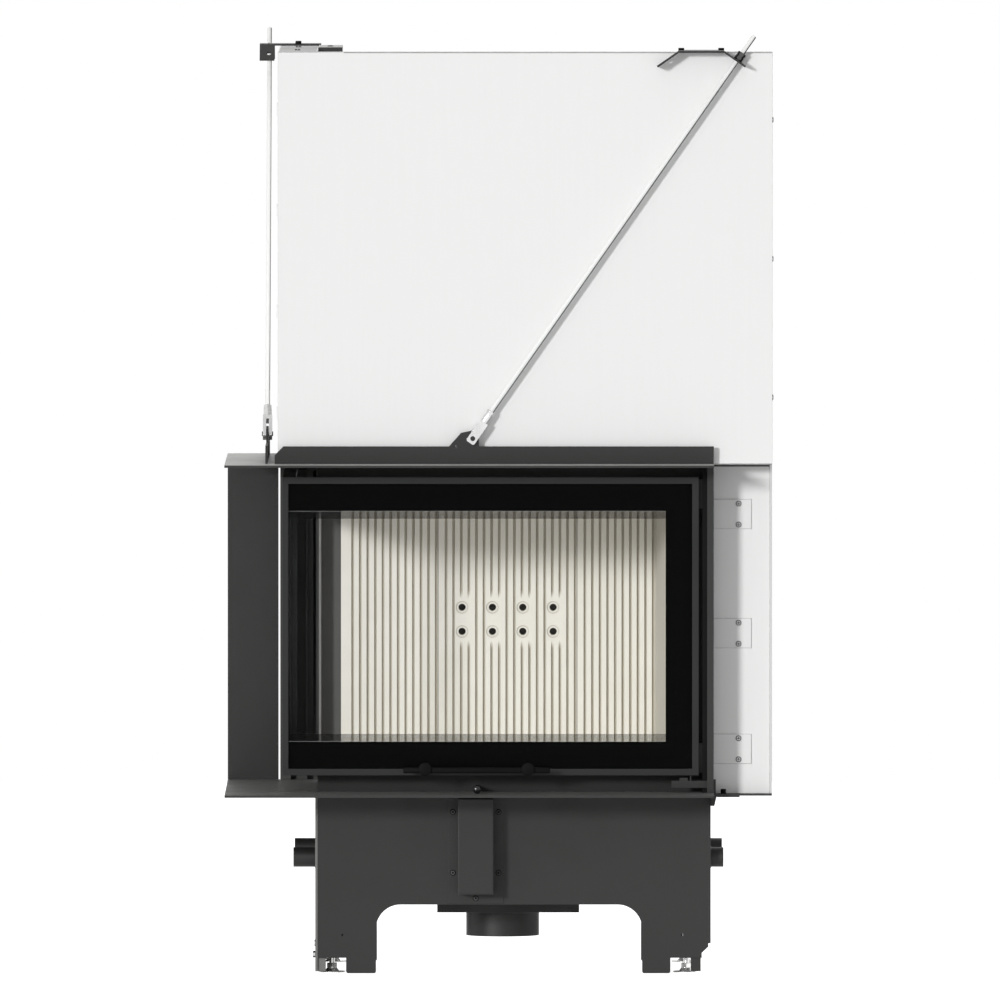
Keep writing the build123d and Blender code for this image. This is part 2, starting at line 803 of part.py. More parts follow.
pin_half = fork_size / 2 + pin_overhang
rod_start = fork_slot_depth + rod_start_gap
rod_pieces = {
    "tie_rods": [tilted(bar((0, 0, rod_start), (0, 0, rod_hole_at + rod_overrun), rod_radius))],
    "forks": [tilted(fork())],
    "fork_pins": [bar((0, -pin_half, 0), (0, pin_half, 0), pin_radius)],
}
nut_start = rod_hole_at + rod_nut_gap
rod_nuts = [tilted(nut(fork_top)), tilted(washer(nut_start)), tilted(nut(nut_start + washer_sheet)),
            tilted(nut(nut_start + washer_sheet + nut_height))]
screws += [front_place(p, pin_x, pin_z) for p in rod_nuts] + [side_place(p, pin_y, pin_z) for p in rod_nuts]
for name, pieces in rod_pieces.items():
    save(name, [front_place(p, pin_x, pin_z) for p in pieces] + [side_place(p, pin_y, pin_z) for p in pieces])


def bracket(inset):
    """Strap from a rod plane, inset from the shelf's edge, over the shaft, with two bent-down ears."""
    near = -bracket_near
    c = cos(radians(bracket_angle))
    s = sin(radians(bracket_angle))
    t = bracket_sheet
    reach = body_inset - inset + t
    strap = block(0, bracket_length, near, reach, 0, t)
    tip = (bracket_length + bracket_flange_length * c, t - bracket_flange_length * s)
    ear = plate_xz([(bracket_length, t), tip, (tip[0] - t * s, tip[1] - t * c),
                    (bracket_length, t - t / c)], near, near + bracket_flange)
    middle = Vector(bracket_length + bracket_hole * c, 0, t - bracket_hole * s)
    across = Vector(s, 0, c) * (2 * t)
    ear -= bar(middle - across, middle + across, bracket_hole_radius)
    other = mirror(ear, Plane.YZ.offset(bracket_length / 2))
    lip = block(0, bracket_length, reach - t, reach, -bracket_lip, 0)
    return strap + ear + other + lip


straps = []
for place, inset, start in ((front_place, rod_front_inset, front_bracket_x),
                            (side_place, rod_left_inset, side_bracket_y)):
    seats = [(x, casing_inset - inset + bracket_screw_reach, bracket_sheet)
             for x in (bracket_screw_inset, bracket_length - bracket_screw_inset)]
    strap = bracket(inset)
    for seat in seats:
        strap -= leg_bolt_hole(seat, UP)
    straps.append(place(strap, start, casing_top))
    screws += [place(leg_bolt(seat, UP), start, casing_top) for seat in seats]
save("top_brackets", straps)

# ---------------------------------------------------------------- firebox
air_rod_x = cover_x + air_rod_offset
air_rod_z = shelf_z + air_rod_height
sill = block(body_left, body_right, body_front, body_front + steel_sheet, shelf_z, floor_z)
sill += block(body_left, body_left + steel_sheet, body_front + steel_sheet, body_back, shelf_z, floor_z)
sill += block(body_left + steel_sheet, body_right, body_back - steel_sheet, body_back, shelf_z, floor_z)
sill -= bar((air_rod_x, body_front - past, air_rod_z),
            (air_rod_x, body_front + steel_sheet + past, air_rod_z), air_rod_radius + air_rod_clearance)
save("firebox_floor", sill + block(body_left, body_right, body_front, body_back, floor_z, floor_top))

fire_top = floor_z + firebox_height
opening_z = floor_top + opening_height
wall_back = body_back - steel_sheet
right_wall = block(fire_right - steel_sheet, fire_right, body_front, wall_back, floor_top, fire_top)
right_wall += block(fire_right, body_right, body_front, body_front + steel_sheet, floor_top, fire_top)
right_wall += block(fire_right - steel_sheet - jamb_width, fire_right - steel_sheet, body_front,
                    body_front + steel_sheet, floor_top, opening_z)
ledge_z = opening_z + ledge_rise
ledge_y = body_front + steel_sheet + ledge_width
baffle_back = wall_back - baffle_gap
right_wall += block(fire_right - steel_sheet - ledge_width, fire_right - steel_sheet, ledge_y,
                    baffle_back, ledge_z - steel_sheet, ledge_z)
save("firebox_right_wall", right_wall)
back_wall = block(body_left, fire_right, wall_back, body_back, floor_top, fire_top)
back_wall += block(body_left, body_left + steel_sheet, wall_back - back_jamb_width, wall_back,
                   floor_top, opening_z)
save("firebox_back_wall", back_wall)
upper = block(body_left, fire_right - steel_sheet, body_front, body_front + steel_sheet,
              opening_z, fire_top)
upper += block(body_left, body_left + steel_sheet, body_front + steel_sheet, wall_back,
               opening_z, fire_top)
upper += block(body_left + steel_sheet, fire_right - steel_sheet, body_front + steel_sheet,
               ledge_y, ledge_z - steel_sheet, ledge_z)
upper += block(body_left + steel_sheet, body_left + steel_sheet + ledge_width, ledge_y,
               baffle_back, ledge_z - steel_sheet, ledge_z)
save("firebox_upper_walls", upper)
flue_x = (body_left + fire_right) / 2
flue_y = body_back - flue_back_gap
lid = block(body_left, body_right, body_front, body_back, fire_top, fire_top + steel_sheet)
lid -= bar((flue_x, flue_y, fire_top - past), (flue_x, flue_y, fire_top + steel_sheet + past),
           flue_radius - flue_wall)
save("firebox_top", lid)
flue_z = fire_top + steel_sheet
collar = bar((flue_x, flue_y, flue_z), (flue_x, flue_y, flue_z + flue_length), flue_radius)
collar += bar((flue_x, flue_y, flue_z), (flue_x, flue_y, flue_z + steel_sheet), flue_radius + flue_flange)
collar -= bar((flue_x, flue_y, flue_z - past), (flue_x, flue_y, flue_z + flue_length + past),
              flue_radius - flue_wall)
save("flue_collar", collar)

# ---------------------------------------------------------------- ceramic lining
hearth_top = floor_top + hearth_thickness
tile_front = wall_back - tile_thickness
lining_front = body_front + steel_sheet + lining_gap
tile_z = hearth_top + tile_height
inner_left = body_left + steel_sheet + lining_gap
inner_right = fire_right - steel_sheet
save("hearth_slab", block(inner_left, inner_right, lining_front, wall_back, floor_top, hearth_top))
start = body_left + tile_left_gap
seams = [start, start + tile_left_width, start + tile_left_width + tile_centre_width]
widths = [tile_left_width, tile_centre_width, inner_right - tile_right_gap - seams[2]]


def groove(x, z0, z1):
    """Cutter for one upright groove between two ribs, rounded at its back."""
    r = rib_groove / 2
    y = tile_front + rib_groove_depth - r
    return bar((x, y, z0), (x, y, z1), r) + block(x - r, x + r, tile_front - past, y, z0, z1)


def ramped_groove(x, tip, end):
    """Cutter for a groove that rises to the tile's surface at its tip, beside an air hole."""
    r = rib_groove / 2
    y = tile_front + rib_groove_depth - r
    foot = tip + groove_ramp if end > tip else tip - groove_ramp
    slope = [(y, foot), (tile_front - r, foot), (tile_front - r, tip)]
    wedge = make_face(Polyline([Vector(x - r, b, z) for b, z in slope], close=True))
    cut = groove(x, min(foot, end), max(foot, end))
    cut += extrude(wedge, rib_groove, dir=(1, 0, 0)) + bar((x, y, foot), (x, tile_front - r, tip), r)
    return cut + Pos(x, y, foot) * Sphere(r)


def groove_places(x0, x1):
    """Middles of a tile's grooves, from its right edge, or from the seam in the right tile."""
    if x0 == seams[2]:
        count = int((x1 - x0 - rib_groove) / rib_pitch)
        return [x0 + (i + 1) * rib_pitch for i in range(count)]
    count = int((x1 - x0 - seam_margin - tile_margin) / rib_pitch) + 1
    return [x1 - seam_margin - i * rib_pitch for i in range(count)]


def tile(x0, width):
    """Back tile with upright ribs and, in the middle tile, two rows of air holes."""
    x1 = x0 + width - tile_joint
    body = block(x0, x1, tile_front, wall_back, hearth_top, tile_z)
    row_top = tile_z - hole_top_z
    row_low = row_top - hole_pitch_z
    holed = x0 == seams[1]
    columns = [(x0 + x1) / 2 + (i - 1.5) * hole_pitch_x for i in range(4)] if holed else []
    for x in groove_places(x0, x1):
        if any(-rib_pitch / 2 < x - c < rib_pitch * 3 / 2 for c in columns):
            body -= ramped_groove(x, row_top + groove_end_gap, tile_z + rib_groove)
            body -= ramped_groove(x, row_low - groove_end_gap, hearth_top - rib_groove)
        else:
            body -= groove(x, hearth_top - rib_groove, tile_z + rib_groove)
    for c in columns:
        for z in (row_top, row_low):
            body -= bar((c, tile_front - past, z), (c, wall_back + past, z), hole_radius)
            body -= bar((c, tile_front - past, z), (c, tile_front + hole_dish_depth, z), hole_dish_radius)
    return body


for name, x0, width in zip(("left", "centre", "right"), seams, widths):
    save("back_tile_" + name, tile(x0, width))

lining_back = tile_front - lining_joint
lining_points = [(inner_right, lining_front), (inner_right, lining_back),
                 (inner_right - lining_thickness - lining_splay, lining_back),
                 (inner_right - lining_thickness, lining_front)]
lining = make_face(Polyline([Vector(x, y, hearth_top) for x, y in lining_points], close=True))
save("side_lining", extrude(lining, tile_height, dir=UP))
save("baffle", block(inner_left, inner_right - lining_gap, lining_front, baffle_back, ledge_z,
                     ledge_z + baffle_thickness))

# ---------------------------------------------------------------- air control rod with its slide
slot_back = slot_front + air_slot_depth
slide_z = shelf_z + air_slide_gap
slide_x0 = spigot_x - air_slot_width / 2 - air_slide_lap
slide_x1 = spigot_x + air_slot_width / 2 + air_slide_lap
tab_y = slot_front - air_slide_lap
slide = block(slide_x0, slide_x1, tab_y, slot_back + air_slide_lap, slide_z, slide_z + air_slide_sheet)
slide += block(air_rod_x - air_slide_lap, air_rod_x + air_slide_lap, tab_y, tab_y + air_slide_sheet,
               slide_z, air_rod_z + air_slide_lap)
slide += bar((air_rod_x, body_front - air_rod_reach, air_rod_z),
             (air_rod_x, tab_y + air_slide_sheet / 2, air_rod_z), air_rod_radius)
save("air_slide", slide)
knob_back = body_front - air_rod_reach + air_knob_length
knob_front = body_front - air_rod_reach - air_knob_cap
knob = bar((air_rod_x, knob_front, air_rod_z), (air_rod_x, knob_back, air_rod_z), air_knob_radius)
save("air_knob", knob - bar((air_rod_x, body_front - air_rod_reach, air_rod_z),
                            (air_rod_x, knob_back + past, air_rod_z), air_rod_radius))

# ---------------------------------------------------------------- casing and column
front_sheet = block(casing_left, casing_right, casing_front, casing_front + casing_sheet,
                    top_shelf_z, casing_top)
front_sheet += block(casing_right - casing_sheet, casing_right, casing_front + casing_sheet,
                     column_panel, top_shelf_z, casing_top)
edge_seats = [(casing_right, casing_front + edge_screw_inset, top_shelf_z + z)
              for z in edge_screw_heights]
save("casing_front", drill(front_sheet, edge_seats, TO_RIGHT))
screws += [pan_screw(seat, TO_RIGHT) for seat in edge_seats]

side_sheet = block(casing_left, casing_left + casing_sheet, casing_front + casing_sheet, back,
                   top_shelf_z, casing_top)
for z in tab_heights:
    side_sheet += block(casing_left - tab_proud, casing_left, casing_front + casing_sheet,
                        casing_front + casing_sheet + tab_depth, top_shelf_z + z,
                        top_shelf_z + z + tab_height)
save("casing_left", side_sheet)

shaft_wall = block(body_left - casing_sheet, shelf_right, body_front - casing_sheet, body_front,
                   top_shelf_z, casing_top)
shaft_wall += block(body_left - casing_sheet, body_left, body_front, shelf_back,
                    top_shelf_z, casing_top)
save("shaft_inner_wall", shaft_wall)

lid_left = casing_left + casing_sheet
lid_front = casing_front + casing_sheet
shaft_lid = block(lid_left, body_left - casing_sheet, lid_front, lid_front + lid_length,
                  casing_top - casing_sheet, casing_top)
for row in range(lid_hole_rows):
    y = lid_front + lid_hole_inset + row * lid_hole_run
    for x in (lid_left + lid_hole_left, lid_left + lid_hole_left + lid_hole_pair):
        shaft_lid -= bar((x, y, casing_top - casing_sheet - past), (x, y, casing_top + past),
                         lid_hole_radius)
        screws.append(bar((x, y, casing_top - casing_sheet), (x, y, casing_top),
                          lid_hole_radius - screw_clearance)
                      + bar((x, y, casing_top), (x, y, casing_top + rivet_height), rivet_radius))
save("shaft_lid", shaft_lid)

column_z = shelf_z - column_panel_drop
column_sheet = block(shelf_right, casing_right, column_panel, column_panel + column_panel_sheet,
                     column_z, casing_top)
clip_lows = [base_height + z for z in clip_heights]
clip_seats = [(shelf_right + clip_screw_inset, column_panel - clip_sheet, low + clip_height / 2 + side)
              for low in clip_lows for side in (-clip_screw_pitch / 2, clip_screw_pitch / 2)]
hem_x = casing_right - hem_width
hem_outline = [(hem_x, column_panel), (hem_x, column_panel - hem_proud),
               (casing_right, column_panel - hem_edge), (casing_right, column_panel)]
hem = make_face(Polyline([Vector(x, y, column_z) for x, y in hem_outline], close=True))
column_sheet += extrude(hem, top_shelf_bottom - column_z, dir=UP)
save("column_back_panel", drill(column_sheet, clip_seats, TO_FRONT))
clips = [block(shelf_right, shelf_right + clip_width, column_panel - clip_sheet, column_panel,
               low, low + clip_height) for low in clip_lows]
save("column_clips", [drill(clip, clip_seats, TO_FRONT) for clip in clips])
screws += [pan_screw(seat, TO_FRONT) for seat in clip_seats]

# folded post beside the door, carrying the right guide rail
post_front = casing_front + post_gap
post = block(post_left, shelf_right, post_front, post_front + casing_sheet, shelf_z, top_shelf_bottom)
post += block(shelf_right - casing_sheet, shelf_right, post_front + casing_sheet,
              post_front + post_depth, shelf_z, top_shelf_bottom)
save("right_post", post)

foot_z = column_z - foot_sheet
foot_y0 = column_panel - foot_depth
foot_y1 = column_panel + column_panel_sheet
column_foot = block(shelf_right, casing_right, foot_y0, foot_y1, foot_z, column_z)
column_foot += block(shelf_right, shelf_right + foot_tab_width, foot_y0, foot_y0 + foot_sheet,
                     column_z, column_z + foot_tab_height)
column_foot += plate_xz([(body_right, foot_z), (shelf_right + foot_heel, foot_z),
                         (shelf_right + foot_heel_low, foot_z - post_foot), (body_right, foot_z - post_foot)],
                        foot_y0, foot_y1)
column_foot += block(shelf_right + foot_heel, shelf_right + foot_heel + foot_double_width, foot_y0,
                     foot_y1, foot_z - foot_double_sheet, foot_z)
bolt_x = shelf_right + bolt_inset
bolt_y = foot_y0 + foot_depth / 2
column_foot -= bar((bolt_x, bolt_y, foot_z - foot_double_sheet - past),
                   (bolt_x, bolt_y, column_z + past), bolt_radius + screw_clearance)
save("column_foot", column_foot)
bolt = hexagon((bolt_x, bolt_y, column_z), (bolt_x, bolt_y, column_z + bolt_head_height), bolt_head)
bolt += bar((bolt_x, bolt_y, foot_z - bolt_end), (bolt_x, bolt_y, column_z), bolt_radius)
screws.append(bolt)

rear_front = shelf_back
rear_sheet = casing_sheet
rear_left = casing_left
rear_top = top_shelf_z
rear = block(rear_left, body_left, rear_front, rear_front + rear_sheet, shelf_z, rear_top)
rear -= block(body_left - rear_slot_inset - rear_slot_width, body_left - rear_slot_inset,
              rear_front - past, rear_front + rear_sheet + past, shelf_z + rear_slot_margin,
              rear_top - rear_slot_margin)
rear += block(rear_left + rear_sheet, body_left, rear_front, rear_front + rear_sheet, rear_top, rail_top)
rear += block(rear_left, rear_left + rear_sheet, rear_front + rear_sheet, back, shelf_z, rear_top)
rear += block(body_left - rear_sheet, body_left, rear_front + rear_sheet, back, shelf_z, casing_top)
rear += block(rear_left + rear_sheet, body_left - rear_sheet, back - rear_sheet, back, shelf_z, casing_top)
save("rear_column", rear)

# ---------------------------------------------------------------- guide rails
def rail():
    """Guide rail drawn with its back at X = 0, opening towards -X, from the shelf to its top."""
    body = block(-rail_depth, 0, 0, rail_width, shelf_z, rail_top)
    return body - block(-rail_depth - past, -rail_sheet, rail_sheet, rail_width - rail_sheet,
                        shelf_z - past, rail_top + past)


rail_y = door_front + rail_offset
rail_x = door_left + rail_offset
right_rail = Pos(rail_back, rail_y, 0) * rail()
rear_rail = Pos(rail_x, shelf_back, 0) * mirror(rail(), SWAP)
save("guide_rails", [right_rail, rear_rail])

cable_x = rail_back - rail_depth + cable_inset
cable_y = shelf_back - rail_depth + cable_inset
right_cable_y = rail_y + rail_width / 2
rear_cable_x = rail_x + rail_width / 2


# ---------------------------------------------------------------- door
def door_ring(x_left, x_right, band_left, band_right, y0, y1):
    """Rectangular ring in the XZ plane with its own side bands and the door's band above and below."""
    ring = block(x_left, x_right, y0, y1, door_bottom, door_top)
    return ring - block(x_left + band_left, x_right - band_right, y0 - past, y1 + past,
                        door_bottom + frame_band, door_top - frame_band)


def wing(length):
    """One wing of the door frame, from the corner along +X, drawn with the corner at the origin."""
    face = door_ring(0, length, corner_strip, frame_band, 0, frame_depth)
    flange_y = glass_recess + glass_thickness + seal_thickness
    flange = block(frame_depth, length - frame_band, flange_y, flange_y + frame_flange_sheet,
                   door_bottom + frame_band, door_top - frame_band)
    flange -= block(0, length - frame_band - frame_flange, 0, frame_depth,
                    door_bottom + frame_band + frame_flange, door_top - frame_band - frame_flange)
    column = block(-past, corner_strip + past, -past, frame_depth + past, door_bottom + frame_band,
                   door_top - frame_band)
    return face + flange - column


def wing_glass(length, start):
    """Pane of one wing, between the corner strip and the frame's side band."""
    return block(start + glass_gap, length - frame_band - glass_gap, glass_recess,
                 glass_recess + glass_thickness, door_bottom + frame_band + glass_gap,
                 door_top - frame_band - glass_gap)


def wing_seal(length):
    """Flat seal between the pane and the flange of one wing."""
    y0 = glass_recess + glass_thickness
    outer = block(frame_depth, length - frame_band, y0, y0 + seal_thickness,
                  door_bottom + frame_band, door_top - frame_band)
    return outer - block(0, length - frame_band - seal_width, y0 - past, y0 + seal_thickness + past,
                         door_bottom + frame_band + seal_width, door_top - frame_band - seal_width)


def on_front(shape):
    """Place a door piece, drawn from the corner, in the front wing."""
    return Pos(door_left, door_front, 0) * shape


def on_side(shape):
    """Place a door piece, drawn from the corner, in the side wing."""
    return Pos(door_left, door_front, 0) * mirror(shape, SWAP)


front_length = door_right - door_left
side_length = door_back - door_front
save("door_frame", on_front(wing(front_length)) + on_side(wing(side_length)))
save("front_glass", on_front(wing_glass(front_length, corner_strip)))
save("side_glass", on_side(wing_glass(side_length, corner_strip)))
save("glass_seals", [on_front(wing_seal(front_length)), on_side(wing_seal(side_length))])
save("corner_strip", block(door_left, door_left + corner_strip, door_front, door_front + corner_strip,
                           door_bottom + frame_band, door_top - frame_band))

handle_x = door_left + handle_offset
handle_z = door_bottom + handle_rise
grip_front = door_front - handle_reach
grip_back = grip_front + handle_thickness
grip = block(handle_x - handle_length / 2, handle_x + handle_length / 2, grip_front, grip_back,
             handle_z - handle_height / 2, handle_z + handle_height / 2)
grip = fillet(grip.edges().filter_by(Axis.Z), handle_round)
for side in (-1, 1):
    x = handle_x + side * boss_pitch / 2
    z = handle_z + boss_rise
    grip += bar((x, grip_back, handle_z), (x, door_front, handle_z), stem_radius)
    grip += bar((x, grip_front - boss_thickness, z), (x, grip_front, z), boss_radius)
save("handle", grip)

shoe_reach = rail_sheet + shoe_back_gap
shoe_lows = (door_bottom + shoe_margin, door_top - shoe_margin - shoe_height)
shoe_half = rail_width / 2 - rail_sheet - shoe_clearance
shoes = []
for low in shoe_lows:
    shoes.append(block(door_right, rail_back - shoe_reach, right_cable_y - shoe_half,
                       right_cable_y + shoe_half, low, low + shoe_height))
    shoes.append(block(rear_cable_x - shoe_half, rear_cable_x + shoe_half, door_back,
                       shelf_back - shoe_reach, low, low + shoe_height))
save("guide_shoes", shoes)


# ---------------------------------------------------------------- pulleys, cables, counterweights
def pulley():
    """Grooved pulley drawn about the Y axis at the origin."""
    half = pulley_width / 2
    groove_half = cable_radius + groove_clearance
    wheel = bar((0, -half, 0), (0, half, 0), pulley_radius)
    ring = bar((0, -groove_half, 0), (0, groove_half, 0), pulley_radius + past)
    wheel -= ring - bar((0, -half, 0), (0, half, 0), pulley_groove_radius)
    wheel -= bar((0, -half - past, 0), (0, half + past, 0), axle_radius + axle_clearance)
    hole = bar((spoke_hole_circle, -half - past, 0), (spoke_hole_circle, half + past, 0),
               spoke_hole_radius)
    for i in range(spoke_holes):
        wheel -= hole.rotate(Axis.Y, i * 360 / spoke_holes)
    return wheel


wall_gap = body_front - casing_sheet - right_cable_y


def carrier():
    """Wall plate with the axle for one pulley, drawn about the pulley's middle."""
    plate = block(-carrier_width / 2, carrier_width / 2, wall_gap - carrier_sheet, wall_gap,
                  -carrier_height / 2, carrier_height / 2)
    axle_end = -pulley_width / 2 - axle_overhang
    axle = bar((0, axle_end, 0), (0, wall_gap - carrier_sheet, 0), axle_radius)
    collar_start = pulley_width / 2 + axle_collar_gap
    axle += bar((0, collar_start, 0), (0, wall_gap - carrier_sheet, 0), axle_radius + axle_collar)
    return plate + axle


shoe_top = door_top - shoe_margin
weight_top = pulley_z - weight_drop
eye_top = weight_top + eye_height


def cable():
    """Cable from the door's upper shoe over the pulley to the counterweight's eye."""
    over = 2 * cable_run
    path = Line((0, 0, shoe_top), (0, 0, pulley_z))
    path += ThreePointArc((0, 0, pulley_z), (cable_run, 0, pulley_z + cable_run), (over, 0, pulley_z))
    path += Line((over, 0, pulley_z), (over, 0, eye_top))
    return sweep(Plane(origin=(0, 0, shoe_top)) * Circle(cable_radius), path)


def weight():
    """Counterweight with its eye, drawn under the weight side of the pulley."""
    over = 2 * cable_run
    body = block(over - weight_width / 2, over + weight_width / 2, -weight_depth / 2, weight_depth / 2,
                 weight_top - weight_height, weight_top)
    body = chamfer(body.edges().filter_by(Axis.Z), weight_chamfer)
    return body + bar((over, 0, weight_top), (over, 0, eye_top), eye_radius)


def right_drive(shape):
    """Place a piece of the cable drive in the right column."""
    return Pos(cable_x, right_cable_y, 0) * shape


def rear_drive(shape):
    """Place a piece of the cable drive in the left shaft, behind the door's side wing."""
    return Pos(rear_cable_x, cable_y, 0) * mirror(shape, SWAP)


at_pulley = Pos(cable_run, 0, pulley_z)
for name, place in (("right", right_drive), ("rear", rear_drive)):
    save(name + "_pulley", place(at_pulley * pulley()))
    save(name + "_cable", place(cable()))
    save(name + "_counterweight", place(weight()))

beam_y = front + beam_start
beam_top = casing_top + beam_rise
beam = block(body_left, body_left + beam_width, beam_y, beam_y + beam_length,
             beam_top - beam_height, beam_top)
beam -= block(body_left + beam_sheet, body_left + beam_width - beam_sheet, beam_y - past,
              beam_y + beam_length + past, beam_top - beam_height - past, beam_top - beam_sheet)
beam += block(body_left + beam_sheet, body_left + beam_width - beam_sheet, beam_y, beam_y + beam_sheet,
              beam_top - beam_height, beam_top - beam_sheet)
beam_seats = [(body_left + beam_width / 2, beam_y + beam_screw, beam_top)]
save("pulley_carriers", [right_drive(at_pulley * carrier()), rear_drive(at_pulley * carrier()),
                         drill(beam, beam_seats, UP)])
screws += [pan_screw(seat, UP) for seat in beam_seats]

# ---------------------------------------------------------------- rest under the door
rest_y = door_front + rest_setback
rest_z = shelf_z + rest_rise
rest_left = rail_back - rest_length
rest_top = rest_z + rest_height
rest = block(rest_left, rail_back, rest_y, rest_y + rest_sheet, rest_z, rest_top)
rest += block(rest_left + rest_ear_start, rest_left + rest_ear_start + rest_ear_length, rest_y,
              rest_y + rest_sheet, rest_top, rest_top + rest_ear_height)
pin_at = (rest_left + rest_pin_inset, rest_y + rest_sheet / 2)
rest += bar((*pin_at, rest_top), (*pin_at, door_bottom - rest_pin_gap), rest_pin_radius)
save("door_rest", rest)
save("fasteners", screws)
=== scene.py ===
"""Corner fireplace insert with an L-shaped lifting door, dressed for the picture.

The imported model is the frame: every plate, panel and mechanism piece keeps its solid and gets
its finish here. What the solids leave plain is built as meshes in the same frame, from sizes in
millimetres: threaded rods and feet, cross-recessed screws, the handle, the printed border of the
panes, the hoist cables, welds and the knurled air knob. The studio around it is in metres.
"""
from __future__ import annotations

import logging
import math
from dataclasses import dataclass, field, replace
from enum import Enum
from functools import cache

import bmesh
import bpy
from mathutils import Matrix, Vector

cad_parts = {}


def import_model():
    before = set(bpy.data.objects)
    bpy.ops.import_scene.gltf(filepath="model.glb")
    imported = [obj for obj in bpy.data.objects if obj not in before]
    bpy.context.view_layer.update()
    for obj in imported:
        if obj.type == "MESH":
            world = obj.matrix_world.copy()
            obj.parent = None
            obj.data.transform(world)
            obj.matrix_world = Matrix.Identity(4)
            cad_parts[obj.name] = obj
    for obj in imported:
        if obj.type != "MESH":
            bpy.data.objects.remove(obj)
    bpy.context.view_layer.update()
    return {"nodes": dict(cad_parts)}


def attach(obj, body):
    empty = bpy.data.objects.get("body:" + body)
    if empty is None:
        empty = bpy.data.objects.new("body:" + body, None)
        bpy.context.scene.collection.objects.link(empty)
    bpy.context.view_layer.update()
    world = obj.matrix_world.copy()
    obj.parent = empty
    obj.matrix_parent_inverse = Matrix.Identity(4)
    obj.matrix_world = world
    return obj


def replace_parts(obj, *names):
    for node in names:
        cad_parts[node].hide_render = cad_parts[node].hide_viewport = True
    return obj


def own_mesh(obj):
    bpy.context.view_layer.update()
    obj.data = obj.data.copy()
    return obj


log = logging.getLogger("insert")

MM = 0.001
Point = tuple[float, float, float]
Span = tuple[float, float]
Socket = bpy.types.NodeSocket
RIGHT: Point = (1.0, 0.0, 0.0)
LEFT: Point = (-1.0, 0.0, 0.0)
FRONT: Point = (0.0, -1.0, 0.0)
BACK: Point = (0.0, 1.0, 0.0)
UP: Point = (0.0, 0.0, 1.0)


class Body(Enum):
    """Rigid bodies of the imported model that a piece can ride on."""

    INSERT = "insert"
    DOOR = "door"
    AIR_CONTROL = "air_control"
    FOOT_FRONT_LEFT = "foot_front_left"
    FOOT_FRONT_RIGHT = "foot_front_right"
    FOOT_REAR_LEFT = "foot_rear_left"
    FOOT_REAR_RIGHT = "foot_rear_right"


class Grain(Enum):
    """Kind of surface texture that a finish carries."""

    PEEL = "fine bumps of sprayed paint"
    ROLLED = "faint streaks of rolled sheet"
    CAST = "coarse sand-cast skin"
    FIRED = "fine pores of fired clay"
    FLAKES = "pressed mica flakes"
    STRANDS = "twisted wires"
    WEAVE = "woven glass fibre"
    TURNED = "rings left by a lathe"


# -------- finishes
STRETCH = {Grain.ROLLED: (220.0, 220.0, 6.0), Grain.TURNED: (500.0, 30.0, 500.0),
           Grain.STRANDS: (700.0, 700.0, 420.0)}
FINENESS = {Grain.PEEL: 900.0, Grain.CAST: 240.0, Grain.FIRED: 620.0, Grain.FLAKES: 260.0,
            Grain.WEAVE: 160.0, Grain.STRANDS: 0.35}
GRAIN_RELIEF = 0.0004
TONE_SPAN = (0.7, 1.3)
# Where the painted edge light starts and is full, by how far the bevelled normal turns from the plain one.
PAINTED_EDGE_SPAN = (0.75, 0.99)
# Occlusion values over which the painted shade in recesses fades in.
PAINTED_SHADE_SPAN = (0.45, 0.97)
# Object X, in metres, over which the painted light on the left part fades in.
PAINTED_LEFT_SPAN = (0.0, -0.1)
SMEARS_A_METRE = 14.0
SMEAR_TINT = 1.15
SMEAR_GLOSS = 0.05
WHITE = (1.0, 1.0, 1.0, 1.0)


